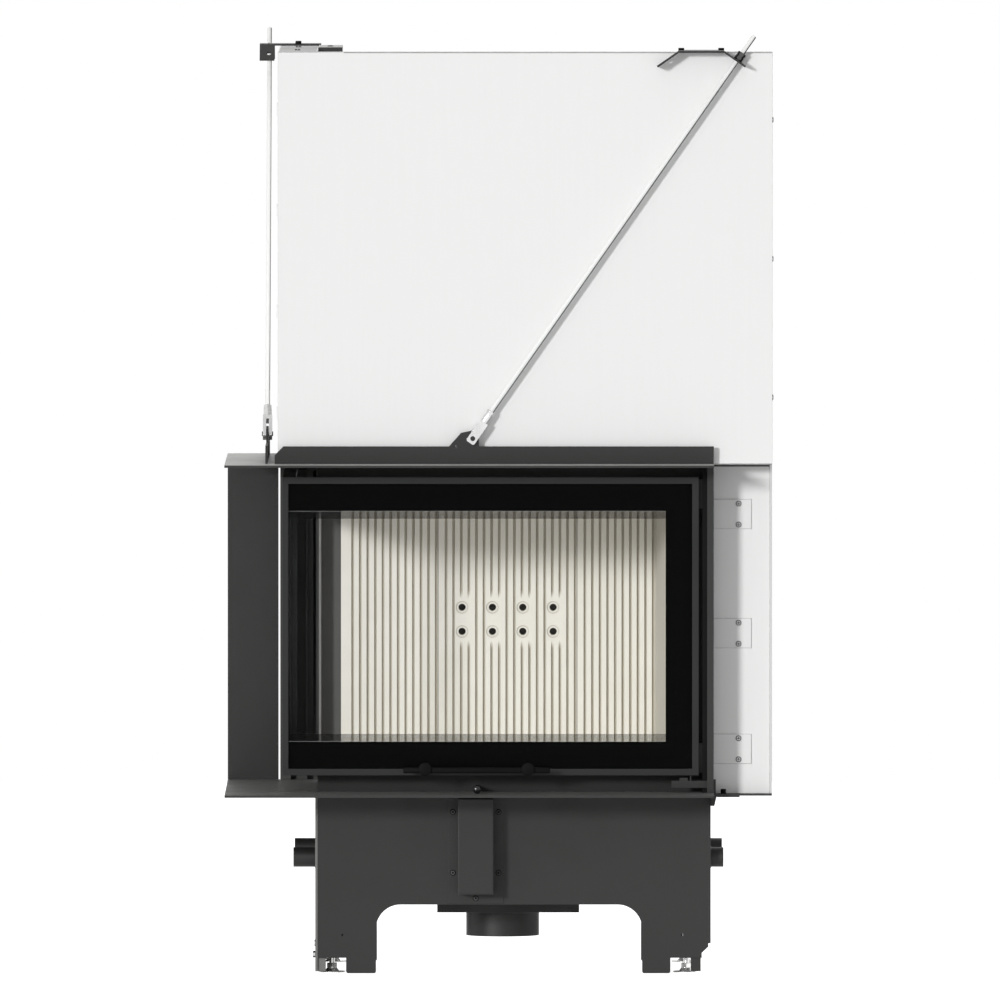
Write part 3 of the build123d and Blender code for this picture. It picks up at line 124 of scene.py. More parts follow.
class Graph:
    """Shader graph of a material or of the world."""

    def __init__(self, owner: bpy.types.Material | bpy.types.World) -> None:
        """Open the graph of a new material or world.

        Args:
            owner: the material or world.
        """
        owner.use_nodes = True
        self.owner = owner
        self.nodes = owner.node_tree.nodes

    def add(self, kind: str, inputs: dict | None = None, **settings: object) -> bpy.types.Node:
        """Add a node.

        Args:
            kind: type of the node without its ShaderNode prefix.
            inputs: values or sockets for the node's inputs, by name or number.
            settings: properties of the node.

        Returns:
            The new node.
        """
        node = self.nodes.new("ShaderNode" + kind)
        for key, value in settings.items():
            setattr(node, key, value)
        self.feed(node, inputs or {})
        return node

    def feed(self, node: bpy.types.Node, inputs: dict) -> None:
        """Set or link inputs of a node.

        Args:
            node: the node.
            inputs: values or sockets for its inputs, by name or number.
        """
        for key, value in inputs.items():
            if isinstance(value, Socket):
                self.owner.node_tree.links.new(value, node.inputs[key])
            else:
                node.inputs[key].default_value = value

    def toward(self, way: Socket | Point) -> Socket:
        """Compare the plain normal of the surface with a direction.

        Args:
            way: the direction or a socket that gives it.

        Returns:
            Socket of their dot product.
        """
        plain = self.add("NewGeometry").outputs["Normal"]
        return self.add("VectorMath", {0: plain, 1: way}, operation="DOT_PRODUCT").outputs["Value"]

    def noise(self, place: Socket, scale: float, detail: float = 3.0) -> Socket:
        """Add a noise texture.

        Args:
            place: coordinates that it reads.
            scale: how many features there are in a metre.
            detail: octaves of finer noise.

        Returns:
            Its value socket.
        """
        inputs = {"Vector": place, "Scale": scale, "Detail": detail, "Roughness": 0.55}
        return self.add("TexNoise", inputs).outputs["Fac"]

    def ranged(self, value: Socket, low: float, high: float,
               start: float = 0.3, end: float = 0.7) -> Socket:
        """Map a texture's value to a range.

        Args:
            value: socket to map.
            low: result at the start.
            high: result at the end.
            start: value that gives the low result.
            end: value that gives the high result.

        Returns:
            The mapped socket.
        """
        inputs = {"Value": value, "From Min": start, "From Max": end, "To Min": low, "To Max": high}
        return self.add("MapRange", inputs).outputs["Result"]

    def mixed(self, share: Socket, first: object, second: object) -> Socket:
        """Mix two colours.

        Args:
            share: how much of the second colour.
            first: colour or socket.
            second: colour or socket.

        Returns:
            The mixed colour.
        """
        node = self.add("Mix", {0: share}, data_type="RGBA")
        for number, value in ((6, first), (7, second)):
            self.feed(node, {number: value if isinstance(value, Socket) else (*value, 1.0)})
        return node.outputs[2]

    def seen_rays(self) -> Socket:
        """Add the test for rays that show the background itself.

        Returns:
            Socket that is 1 for camera, glossy and transmission rays.
        """
        rays = self.add("LightPath").outputs
        seen = rays["Is Camera Ray"]
        for kind in ("Is Glossy Ray", "Is Transmission Ray"):
            seen = self.add("Math", {0: seen, 1: rays[kind]}, operation="MAXIMUM").outputs["Value"]
        return seen


@dataclass(frozen=True)
class Finish:
    """Finish of one material: its colour, gloss and grain, with the painted highlights and painted shade
    that it carries.
    """

    name: str
    colour: Point
    tone: Point
    grain: Grain
    roughness: float
    gloss_spread: float = 0.08
    metallic: float = 0.0
    ior: float = 1.45
    patch_scale: float = 9.0
    bump: float = 0.15
    edge_radius: float = 0.0008
    # Painted light along rounded edges: a lighter tone is a painted highlight, a darker tone is painted
    # shade.
    painted_edge_tone: Point | None = None
    # Painted light on faces turned toward this direction, in the tone below: lighter for a painted
    # highlight, darker for painted shade.
    painted_facing: Point | None = None
    painted_facing_tone: Point = (0.1, 0.1, 0.1)
    painted_facing_span: Span = (0.85, 0.95)
    # Lighter tone painted on the part left of the middle, as painted light.
    painted_left_light: Point | None = None
    # Painted shade in grooves and recesses, found by ambient occlusion within this reach.
    painted_shade_reach: float = 0.0
    painted_shade_tone: Point = (0.1, 0.1, 0.1)

    def height(self, graph: Graph, place: Socket) -> Socket:
        """Build the height of the grain.

        Args:
            graph: shader graph that gets the nodes.
            place: coordinates of the object.

        Returns:
            Height socket, about 0 to 1.
        """
        if self.grain in STRETCH:
            place = graph.add("Mapping", {"Vector": place, "Scale": STRETCH[self.grain]}).outputs["Vector"]
        if self.grain in (Grain.ROLLED, Grain.TURNED):
            return graph.noise(place, 1.0)
        fineness = FINENESS[self.grain]
        if self.grain is Grain.FLAKES:
            return graph.add("TexVoronoi", {"Vector": place, "Scale": fineness}).outputs["Distance"]
        if self.grain in (Grain.STRANDS, Grain.WEAVE):
            inputs = {"Vector": place, "Scale": fineness}
            if self.grain is Grain.WEAVE:
                inputs["Distortion"] = 1.5
            return graph.add("TexWave", inputs, bands_direction="DIAGONAL").outputs["Fac"]
        return graph.noise(place, fineness, 5.0)

    def build(self) -> bpy.types.Material:
        """Build the material.

        Returns:
            The material with its shader graph.
        """
        graph = Graph(bpy.data.materials.new(self.name))
        place = graph.add("TexCoord").outputs["Object"]
        patches = graph.noise(place, self.patch_scale)
        height = self.height(graph, place)
        blend = graph.add("Math", {0: patches, 1: height}, operation="ADD").outputs["Value"]
        colour = graph.mixed(graph.ranged(blend, 0.0, 1.0, *TONE_SPAN), self.colour, self.tone)
        normal = graph.add("Bevel", {"Radius": self.edge_radius}, samples=4).outputs["Normal"]
        # Painted light along the rounded edges: a painted highlight on dark paint, painted shade on zinc
        # sheet and clips.
        if self.painted_edge_tone is not None:
            painted_edge_share = graph.ranged(graph.toward(normal), 1.0, 0.0, *PAINTED_EDGE_SPAN)
            colour = graph.mixed(painted_edge_share, colour, self.painted_edge_tone)
        # Painted light on the faces turned toward the set direction.
        if self.painted_facing is not None:
            share = graph.ranged(graph.toward(self.painted_facing), 0.0, 1.0, *self.painted_facing_span)
            colour = graph.mixed(share, colour, self.painted_facing_tone)
        # Painted light on the part left of the middle, full from 0.1 m left on.
        if self.painted_left_light is not None:
            across = graph.add("SeparateXYZ", {"Vector": place}).outputs["X"]
            share = graph.ranged(across, 0.0, 1.0, *PAINTED_LEFT_SPAN)
            colour = graph.mixed(share, colour, self.painted_left_light)
        # Painted shade: darken the colour in grooves and recesses by ambient occlusion.
        if self.painted_shade_reach > 0:
            painted_shade = graph.add("AmbientOcclusion", {"Distance": self.painted_shade_reach}, samples=8)
            share = graph.ranged(painted_shade.outputs["AO"], 1.0, 0.0, *PAINTED_SHADE_SPAN)
            colour = graph.mixed(share, colour, self.painted_shade_tone)
        inputs = {"Height": height, "Strength": self.bump, "Distance": GRAIN_RELIEF, "Normal": normal}
        rough = graph.ranged(patches, self.roughness - self.gloss_spread, self.roughness + self.gloss_spread)
        bumped = graph.add("Bump", inputs).outputs["Normal"]
        graph.feed(graph.nodes["Principled BSDF"], {
            "Base Color": colour, "Roughness": rough, "Metallic": self.metallic, "IOR": self.ior,
            "Normal": bumped})
        return graph.owner


@dataclass(frozen=True)
class Pane:
    """Finish of clear or printed glass, seen through by its alpha."""

    name: str
    colour: Point
    alpha: float
    roughness: float = 0.04
    ior: float = 1.5

    def build(self) -> bpy.types.Material:
        """Build the material.

        Returns:
            The material with faint smears in its gloss.
        """
        graph = Graph(bpy.data.materials.new(self.name))
        place = graph.add("TexCoord").outputs["Object"]
        smears = graph.noise(place, SMEARS_A_METRE, 4.0)
        tint = graph.mixed(smears, self.colour, tuple(SMEAR_TINT * value for value in self.colour))
        rough = graph.ranged(smears, self.roughness, self.roughness + SMEAR_GLOSS)
        graph.feed(graph.nodes["Principled BSDF"], {
            "Base Color": tint, "Roughness": rough, "Alpha": self.alpha, "IOR": self.ior})
        return graph.owner


def grey(level: float, blue: float | None = None) -> Point:
    """Return a grey, with its blue lowered or raised where given.

    Args:
        level: red and green.
        blue: blue, the same as the others when left out.

    Returns:
        The colour.
    """
    return level, level, level if blue is None else blue


# Dark heat paint; its lighter edge tone is a painted highlight along the edges.
PAINT = Finish("heat_paint", grey(0.0135, 0.013), grey(0.018, 0.017), Grain.PEEL, 0.52,
               ior=1.42, bump=0.25, painted_edge_tone=grey(0.060, 0.058))
DOOR_PAINT = replace(PAINT, name="door_paint", colour=grey(0.011, 0.012), tone=grey(0.015, 0.016),
                     roughness=0.45, ior=1.36, bump=0.2, painted_edge_tone=grey(0.050))
# Base side panel with a painted highlight on its front-facing edge.
SIDE_PAINT = replace(PAINT, name="side_paint", colour=grey(0.0155, 0.015), tone=grey(0.021, 0.020),
                     painted_edge_tone=None, painted_facing=FRONT, painted_facing_tone=grey(0.20, 0.195))
INNER_PAINT = Finish("inner_paint", grey(0.012), grey(0.018, 0.017), Grain.PEEL, 0.6,
                     ior=1.38, bump=0.2)
# Lighter copies of the inner paint: painted light on the back wall and the rear column seen through the
# panes.
LIT_WALL_PAINT = replace(INNER_PAINT, name="lit_wall_paint", colour=grey(0.105, 0.102), tone=grey(0.12, 0.116))
LIT_COLUMN_PAINT = replace(INNER_PAINT, name="lit_column_paint", colour=grey(0.052, 0.050),
                       tone=grey(0.062, 0.060))
# Near-black rails; the left rail is painted lighter as painted light.
RAIL_PAINT = replace(INNER_PAINT, name="rail_paint", colour=grey(0.005), tone=grey(0.007),
                     ior=1.2, painted_left_light=grey(0.065, 0.063))
GRIP_PAINT = replace(INNER_PAINT, name="grip_paint", colour=grey(0.006), tone=grey(0.009),
                     roughness=0.5, ior=1.12)
# Painted highlight: upward faces of the shelves and carriers are painted lighter, for the sheen on their
# tops.
SHELF_PAINT = Finish("shelf_paint", grey(0.018, 0.0175), grey(0.024, 0.023), Grain.PEEL, 0.48,
                     ior=1.42, bump=0.2, painted_facing=UP, painted_facing_tone=grey(0.125, 0.122))
# The top shelf and the carriers carry a stronger painted highlight on their upward faces.
TOP_SHELF = replace(SHELF_PAINT, name="top_shelf_paint", painted_facing_tone=grey(0.42, 0.41))
BEAM_PAINT = replace(SHELF_PAINT, name="beam_paint", colour=grey(0.016), tone=grey(0.024, 0.023),
                     roughness=0.5, ior=1.45, painted_facing_tone=grey(0.48, 0.47))
# Zinc sheet; its dark edge tone is painted shade along the folds.
SHEET = Finish("zinc_sheet", grey(0.88, 0.875), grey(0.868, 0.863), Grain.ROLLED, 0.5,
               gloss_spread=0.04, metallic=0.1, patch_scale=1.1, bump=0.01, edge_radius=0.001,
               painted_edge_tone=grey(0.14))
# Clip plates with a near-black painted shade as their outline.
CLIP_SHEET = replace(SHEET, name="clip_sheet", colour=grey(0.86, 0.855), tone=grey(0.85, 0.845),
                     edge_radius=0.0018, painted_edge_tone=grey(0.02))
LID = Finish("lid_sheet", grey(0.40, 0.395), grey(0.37, 0.365), Grain.ROLLED, 0.5,
             metallic=0.1, patch_scale=3.0, bump=0.02)
# Rod zinc with painted shade on the side turned away from the key light.
ZINC = Finish("rod_zinc", grey(0.95, 0.94), grey(0.92, 0.91), Grain.TURNED, 0.4,
              patch_scale=20.0, ior=1.12, bump=0.01, edge_radius=0.0002,
              painted_facing=(0.90, 0.10, -0.42), painted_facing_tone=grey(0.01), painted_facing_span=(0.38, 0.58))
KNOB = Finish("knob_steel", grey(0.045), grey(0.03), Grain.TURNED, 0.22,
              metallic=0.8, patch_scale=60.0, bump=0.1, edge_radius=0.0003)
BRIGHT = Finish("bright_zinc", grey(0.72, 0.715), grey(0.62), Grain.ROLLED, 0.3,
                metallic=0.95, patch_scale=30.0, bump=0.1, edge_radius=0.0005)
FOOT_ZINC = replace(BRIGHT, name="foot_zinc", colour=grey(0.95, 0.94), tone=grey(0.88, 0.87),
                    roughness=0.25, metallic=0.8)
# Grey strip colour: a painted highlight on the dark jamb edge, painted shade on the white casing rim.
PAINTED_EDGE_GREY = replace(BRIGHT, name="painted_edge_grey", colour=grey(0.22, 0.215), tone=grey(0.17, 0.165),
                    roughness=0.5, metallic=0.3, edge_radius=0.0008)
# Zinc screws drawn dark, with a painted highlight on the front-facing crown; the dark rim and sides are
# painted shade.
SCREW = Finish("screw_zinc", grey(0.012), grey(0.018), Grain.TURNED, 0.4,
               patch_scale=90.0, ior=1.2, bump=0.02, edge_radius=0.0002, painted_facing=FRONT,
               painted_facing_tone=grey(0.88, 0.87), painted_facing_span=(0.955, 0.985))
# Blackened screws with a faint painted highlight on the front-facing crown.
DARK_SCREW = replace(SCREW, name="blackened_screw", colour=grey(0.002), tone=grey(0.003),
                     roughness=0.5, ior=1.15, painted_facing_tone=grey(0.12), painted_facing_span=(0.94, 0.975))
CERAMIC = Finish("fire_ceramic", (0.93, 0.915, 0.85), (0.88, 0.86, 0.79), Grain.FIRED, 0.78,
                 patch_scale=16.0, bump=0.35, edge_radius=0.0012, painted_shade_reach=0.006,
                 painted_shade_tone=(0.50, 0.465, 0.385))
# Side lining with painted shade on its left-facing faces.
SIDE_CERAMIC = replace(CERAMIC, name="side_ceramic", painted_facing=LEFT, painted_facing_tone=(0.56, 0.54, 0.48),
                       painted_shade_reach=0.0)
MICA = Finish("pressed_mica", (0.55, 0.47, 0.35), (0.42, 0.35, 0.25), Grain.FLAKES, 0.75,
              patch_scale=40.0, bump=0.6, edge_radius=0.0015)
IRON = Finish("cast_iron", grey(0.10), (0.07, 0.065, 0.06), Grain.CAST, 0.65,
              metallic=0.6, patch_scale=25.0, bump=0.8, edge_radius=0.0012)
ALLOY = Finish("wheel_alloy", (0.66, 0.67, 0.68), (0.58, 0.59, 0.60), Grain.TURNED, 0.32,
               metallic=1.0, patch_scale=60.0, bump=0.15)
ROPE = Finish("wire_rope", grey(0.42), grey(0.25), Grain.STRANDS, 0.4,
              metallic=0.9, patch_scale=80.0, bump=0.8, edge_radius=0.0001)
FIBRE = Finish("seal_fibre", grey(0.10, 0.095), grey(0.05, 0.048), Grain.WEAVE, 0.9,
               patch_scale=120.0, bump=0.9)
GLASS = Pane("fire_glass", (0.010, 0.013, 0.012), 0.02)
PRINT = Pane("black_print", grey(0.0030), 1.0, 0.3, 1.05)
HALFTONE = Pane("print_dots", grey(0.010), 0.32, 0.3, 1.05)
# Painted highlight: a grey line for the glint along the inner edge of the printed band.
GLINT = Pane("painted_edge_glint", (0.30, 0.31, 0.30), 0.35, 0.3)


@cache
def coating(finish: Finish | Pane) -> bpy.types.Material:
    """Return the material of a finish, built on first use.

    Args:
        finish: the finish wanted.

    Returns:
        Its material.
    """
    return finish.build()


# -------- mesh building
CHAMFER_START = 1.02
CHAMFER_SLOPE = 0.9
NUT_FACE = 0.97
THREAD_DEPTH = 0.12
RINGS_A_TURN = 4
PAN_FALL = 0.45
RECESS_ARM = 0.208
RECESS_REACH = 0.36
RECESS_DEPTH = 0.6
RECESS_RISE = 0.6
BOSS_PROFILE = ((0.86, 0.0), (0.96, 0.15), (1.0, 0.45), (1.0, 1.0))
RIVET_PROFILE = ((1.0, 0.0), (1.0, 0.3), (0.87, 0.7), (0.5, 0.95), (0.1, 1.0))
Ring = list[bmesh.types.BMVert]
Spot = Point | Vector


def placed(start: Spot, direction: Spot) -> Matrix:
    """Return the place of a body that starts at a point and rises along a direction.

    Args:
        start: where the body's own origin goes.
        direction: where its own +Z points.

    Returns:
        The place as a 4 by 4 matrix.
    """
    turn = Vector(direction).normalized().to_track_quat("Z", "Y").to_matrix().to_4x4()
    return Matrix.Translation(Vector(start)) @ turn


def circle(radius: float, height: float, sides: int) -> list[Vector]:
    """Return evenly spaced points of a level circle around the Z axis.

    Args:
        radius: its radius.
        height: its height.
        sides: number of points.

    Returns:
        The points.
    """
    turns = [2 * math.pi * i / sides for i in range(sides)]
    return [Vector((radius * math.cos(turn), radius * math.sin(turn), height)) for turn in turns]


def linked(name: str, data: bpy.types.ID) -> bpy.types.Object:
    """Put a new object into the scene.

    Args:
        name: its name.
        data: its mesh, light or camera.

    Returns:
        The object.
    """
    item = bpy.data.objects.new(name, data)
    bpy.context.scene.collection.objects.link(item)
    return item


class Maker:
    """Mesh of one piece, put together in millimetres from plain bodies."""

    def __init__(self, name: str) -> None:
        """Start an empty mesh.

        Args:
            name: name of the piece.
        """
        self.name = name
        self.mesh = bmesh.new()

    def block(self, low: Point, high: Point, edge: float = 0.0) -> None:
        """Add a block with rounded edges.

        Args:
            low: lowest corner.
            high: highest corner.
            edge: radius of its edges.
        """
        a, b = Vector(low), Vector(high)
        made = bmesh.ops.create_cube(self.mesh, size=1.0)
        size = Matrix.Diagonal((*(b - a), 1.0))
        bmesh.ops.transform(self.mesh, matrix=Matrix.Translation((a + b) / 2) @ size, verts=made["verts"])
        if edge > 0:
            edges = list({e for v in made["verts"] for e in v.link_edges})
            bmesh.ops.bevel(self.mesh, geom=edges, offset=edge, segments=3, profile=0.5,
                            affect="EDGES", clamp_overlap=True)

    def ring(self, place: Matrix, spots: list[Vector]) -> Ring:
        """Add a ring of corners.

        Args:
            place: place of the body.
            spots: the ring's points on the body.

        Returns:
            The corners.
        """
        return [self.mesh.verts.new(place @ spot) for spot in spots]

    def skin(self, rings: list[Ring], caps: bool = True) -> None:
        """Join rings with faces.

        Args:
            rings: rings with as many corners each.
            caps: whether the first and the last ring are closed.
        """
        for lower, upper in zip(rings, rings[1:]):
            for i in range(len(lower)):
                j = (i + 1) % len(lower)
                self.mesh.faces.new((lower[i], lower[j], upper[j], upper[i]))
        if caps:
            self.mesh.faces.new(list(reversed(rings[0])))
            self.mesh.faces.new(rings[-1])

    def turned(self, profile: list[Span], start: Spot, direction: Spot, sides: int = 32) -> None:
        """Add a turned body.

        Args:
            profile: radius and height of each ring, from the start on.
            start: point where the height is zero.
            direction: way the height runs.
            sides: number of faces around.
        """
        place = placed(start, direction)
        self.skin([self.ring(place, circle(radius, height, sides)) for radius, height in profile])

    def hexagon(self, start: Spot, direction: Spot, across: float, height: float) -> None:
        """Add a hexagon with the round chamfer of a nut on both ends.

        Args:
            start: middle of its lower end.
            direction: way that it rises.
            across: size across its flats.
            height: its height.
        """
        place = placed(start, direction)
        half = across / 2
        sides = 36
        rings = []
        for slope, level in ((0, 0.0), (CHAMFER_SLOPE, 0.0), (-CHAMFER_SLOPE, height), (0, height)):
            spots = []
            for i in range(sides):
                angle = 2 * math.pi * i / sides
                turn = (angle + math.pi / 6) % (math.pi / 3) - math.pi / 6
                reach = half / math.cos(turn) if slope else half * NUT_FACE
                z = level + slope * max(0.0, reach - half * CHAMFER_START)
                spots.append(Vector((reach * math.cos(angle), reach * math.sin(angle), z)))
            rings.append(self.ring(place, spots))
        self.skin(rings)

    def thread(self, start: Spot, direction: Spot, length: float, radius: float, pitch: float,
               sides: int = 20) -> None:
        """Add a threaded rod as one helical surface.

        Args:
            start: middle of its first end.
            direction: way that it runs.
            length: its length.
            radius: outer radius of the thread.
            pitch: distance between two turns.
            sides: number of faces around.
        """
        place = placed(start, direction)
        depth = pitch * THREAD_DEPTH
        count = max(RINGS_A_TURN, int(length / pitch * RINGS_A_TURN))
        rings = []
        for k in range(count + 1):
            height = k * length / count
            spots = []
            for i in range(sides):
                phase = (height / pitch + i / sides) % 1.0
                reach = radius - depth * abs(2 * phase - 1)
                angle = 2 * math.pi * i / sides
                spots.append(Vector((reach * math.cos(angle), reach * math.sin(angle), height)))
            rings.append(self.ring(place, spots))
        self.skin(rings)

    def tube(self, points: list[Spot], radius: float, sides: int = 12, closed: bool = False,
             ripple: float = 0.0) -> None:
        """Add a round tube along points.

        Args:
            points: the middle line.
            radius: radius of the tube.
            sides: number of faces around.
            closed: whether the line runs back into itself.
            ripple: share by which every second ring is thicker, as in a weld.
        """
        line = [Vector(p) for p in points]
        count = len(line)
        side = Vector(UP)
        rings = []
        for k, spot in enumerate(line):
            ahead = line[(k + 1) % count] if closed else line[min(k + 1, count - 1)]
            behind = line[k - 1] if closed or k else line[0]
            along = (ahead - behind).normalized()
            if abs(along.dot(side)) > 0.97:
                side = Vector(RIGHT if abs(along.x) < 0.9 else BACK)
            side = (side - along * side.dot(along)).normalized()
            other = along.cross(side)
            turns = circle(radius * (1 + ripple * (k % 2)), 0.0, sides)
            spots = [side * turn.x + other * turn.y for turn in turns]
            rings.append(self.ring(Matrix.Translation(spot), spots))
        self.skin(rings + rings[:1] if closed else rings, caps=not closed)

    def cross_head(self, seat: Point, out: Point, radius: float, height: float) -> None:
        """Add a pan head with a cross recess.

        Args:
            seat: middle of the head's underside.
            out: way the head faces.
            radius: radius of the head.
            height: height of the head.
        """
        place = placed(seat, out)
        sides, rows = 32, 10
        arm, reach, depth = radius * RECESS_ARM, radius * RECESS_REACH, height * RECESS_DEPTH
        rings = [self.ring(place, circle(radius, 0.0, sides))]
        for k in range(rows):
            share = 1 - k / rows
            spots = circle(radius * share, height * (1 - PAN_FALL * share ** 4), sides)
            for spot in spots:
                near, far = sorted((abs(spot.x), abs(spot.y)))
                if near < arm and far < reach:
                    spot.z -= depth * (1 - far / reach * RECESS_RISE)
            rings.append(self.ring(place, spots))
        self.skin(rings, caps=False)
        self.mesh.faces.new(list(reversed(rings[0])))
        middle = self.mesh.verts.new(place @ Vector((0.0, 0.0, height - depth)))
        last = rings[-1]
        for i in range(sides):
            self.mesh.faces.new((last[i], last[(i + 1) % sides], middle))

    def piece(self, finish: bpy.types.Material, body: Body, slot: str,
              angle: float = 35.0) -> bpy.types.Object:
        """Turn the mesh into a piece of the scene.

        Args:
            finish: its material.
            body: rigid body that it rides on.
            slot: the record's material slot; not used.
            angle: edges sharper than this stay sharp.

        Returns:
            The new object.
        """
        bmesh.ops.scale(self.mesh, vec=(MM, MM, MM), verts=self.mesh.verts)
        bmesh.ops.recalc_face_normals(self.mesh, faces=self.mesh.faces)
        data = bpy.data.meshes.new(self.name)
        self.mesh.to_mesh(data)
        self.mesh.free()
        for face in data.polygons:
            face.use_smooth = True
        data.set_sharp_from_angle(angle=math.radians(angle))
        data.materials.append(finish)
        item = linked(self.name, data)
        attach(item, body.value)
        log.info("piece %s on %s, %d faces", self.name, body.value, len(data.polygons))
        return item


# -------- studio
@dataclass
class Studio:
    """Floor, lights, world and the long-lens camera of the product picture."""

    camera_side: float = 1.5
    camera_back: float = 49406.0
    camera_height: float = 2548.7
    pitch_down: float = 2.0266
    lens: float = 1037.65
    sensor: float = 36.0
    near_clip: float = 1.0
    far_clip: float = 200.0
    floor_half: float = 7.0
    floor_grey: float = 0.82
    floor_glow: float = 0.95
    ambient: float = 0.42
    key_power: float = 1.75
    key_angle: float = 8.0
    key_way: Point = (0.62, 1.0, -0.23)
    back_power: float = 0.5
    back_angle: float = 40.0
    back_way: Point = (-0.4, -1.0, -0.6)
    hearth_power: float = 0.26
    hearth_size: Span = (0.5, 0.4)
    hearth_at: Point = (0.0, -0.20, 0.60)

    def camera(self) -> None:
        """Create the camera at the photograph's viewing angle."""
        data = bpy.data.cameras.new("camera")
        data.lens = self.lens
        data.sensor_width = self.sensor
        data.clip_start = self.near_clip
        data.clip_end = self.far_clip
        item = linked("camera", data)
        item.location = (self.camera_side * MM, -self.camera_back * MM, self.camera_height * MM)
        item.rotation_euler = (math.radians(90.0 - self.pitch_down), 0.0, 0.0)
        bpy.context.scene.camera = item

    def world(self) -> None:
        """Make the world white to look at and soft as a light."""
        world = bpy.data.worlds.new("studio")
        bpy.context.scene.world = world
        graph = Graph(world)
        level = graph.ranged(graph.seen_rays(), self.ambient, 1.0, 0.0, 1.0)
        graph.feed(graph.nodes["Background"], {"Color": WHITE, "Strength": level})

    def floor(self) -> None:
        """Lay a plain pale floor that looks as white as the background."""
        graph = Graph(bpy.data.materials.new("pale_floor"))
        plain = graph.nodes["Principled BSDF"]
        graph.feed(plain, {"Base Color": (*grey(self.floor_grey), 1.0), "Roughness": 0.9, "IOR": 1.1})
        level = graph.ranged(graph.seen_rays(), 0.0, self.floor_glow, 0.0, 1.0)
        glow = graph.add("Emission", {"Color": WHITE, "Strength": level})
        total = graph.add("AddShader", {0: plain.outputs["BSDF"], 1: glow.outputs["Emission"]})
        graph.feed(graph.nodes["Material Output"], {"Surface": total.outputs["Shader"]})
        data = bpy.data.meshes.new("floor")
        half = self.floor_half
        corners = [(-half, -half, 0.0), (half, -half, 0.0), (half, half, 0.0), (-half, half, 0.0)]
        data.from_pydata(corners, [], [(0, 1, 2, 3)])
        data.materials.append(graph.owner)
        linked("floor", data)

    def light(self, name: str, kind: str, power: float, way: Point) -> bpy.types.Object:
        """Add a light.

        Args:
            name: its name.
            kind: its type in Blender.
            power: its strength.
            way: direction that its light travels.

        Returns:
            The light's object.
        """
        data = bpy.data.lights.new(name, kind)
        data.energy = power
        item = linked(name, data)
        item.rotation_euler = Vector(way).to_track_quat("-Z", "Y").to_euler()
        return item

    def lights(self) -> None:
        """Add the key light, the fill from behind and a soft panel in front of the tiles."""
        key = self.light("key", "SUN", self.key_power, self.key_way)
        key.data.angle = math.radians(self.key_angle)
        fill = self.light("back_fill", "SUN", self.back_power, self.back_way)
        fill.data.angle = math.radians(self.back_angle)
        hearth = self.light("hearth_fill", "AREA", self.hearth_power, BACK)
        hearth.data.shape = "RECTANGLE"
        hearth.data.size, hearth.data.size_y = self.hearth_size
        hearth.location = self.hearth_at
        hearth.visible_camera = False
        hearth.visible_glossy = False

    def build(self) -> None:
        """Build the whole studio."""
        bpy.context.scene.view_settings.view_transform = "Standard"
        self.camera()
        self.world()
        self.floor()
        self.lights()


# -------- carried-over solids
SOLIDS: dict[Finish | Pane, tuple[str, ...]] = {
    PAINT: ("adapter_box", "air_spigot", "base_front_panel", "base_rear_panel", "base_right_panel",
            "carry_tubes", "control_cover", "column_foot", "door_rest", "fork_pins", "left_rear_panel",
            "shelf_upstand", "top_brackets", "right_post"),
    SIDE_PAINT: ("base_left_panel",),
    SHELF_PAINT: ("lower_shelf",),
    TOP_SHELF: ("top_shelf",),
    BEAM_PAINT: ("pulley_carriers",),
    DOOR_PAINT: ("corner_strip", "door_frame"),
    INNER_PAINT: ("firebox_floor", "firebox_right_wall", "firebox_top", "firebox_upper_walls",
                  "flue_collar", "guide_shoes"),
    LIT_WALL_PAINT: ("firebox_back_wall",),
    LIT_COLUMN_PAINT: ("rear_column",),
    RAIL_PAINT: ("guide_rails",),
    SHEET: ("casing_front", "casing_left", "column_back_panel", "shaft_inner_wall"),
    CLIP_SHEET: ("column_clips",),
    LID: ("shaft_lid",),
    BRIGHT: ("air_slide", "forks"),
    CERAMIC: ("back_tile_left", "back_tile_centre", "back_tile_right", "hearth_slab"),
    SIDE_CERAMIC: ("side_lining",),
    MICA: ("baffle",),
    GLASS: ("front_glass", "side_glass"),
    FIBRE: ("glass_seals",),
    ALLOY: ("right_pulley", "rear_pulley"),
    IRON: ("right_counterweight", "rear_counterweight"),
}


def dress(nodes: dict[str, bpy.types.Object]) -> None:
    """Give each CAD solid that stays as it is its finish.

    Args:
        nodes: the CAD objects by name.
    """
    for finish, names in SOLIDS.items():
        coat = coating(finish)
        for name in names:
            item = nodes[name]
            item.data.materials.clear()
            item.data.materials.append(coat)
            for slot in item.material_slots:
                slot.material = coat
        log.info("%d solids in %s", len(names), finish.name)


# -------- fasteners
class Drive(Enum):
    """Head of a fastener."""

    CROSS = "pan head with a cross recess"
    RIVET = "smooth round head"
    HEX = "hexagon head"


@dataclass(frozen=True)
class Seat:
    """Place of one fastener: the middle of its head's underside."""

    at: Point
    out: Point
    drive: Drive = Drive.CROSS
    across: float = 10.0
    height: float = 4.0


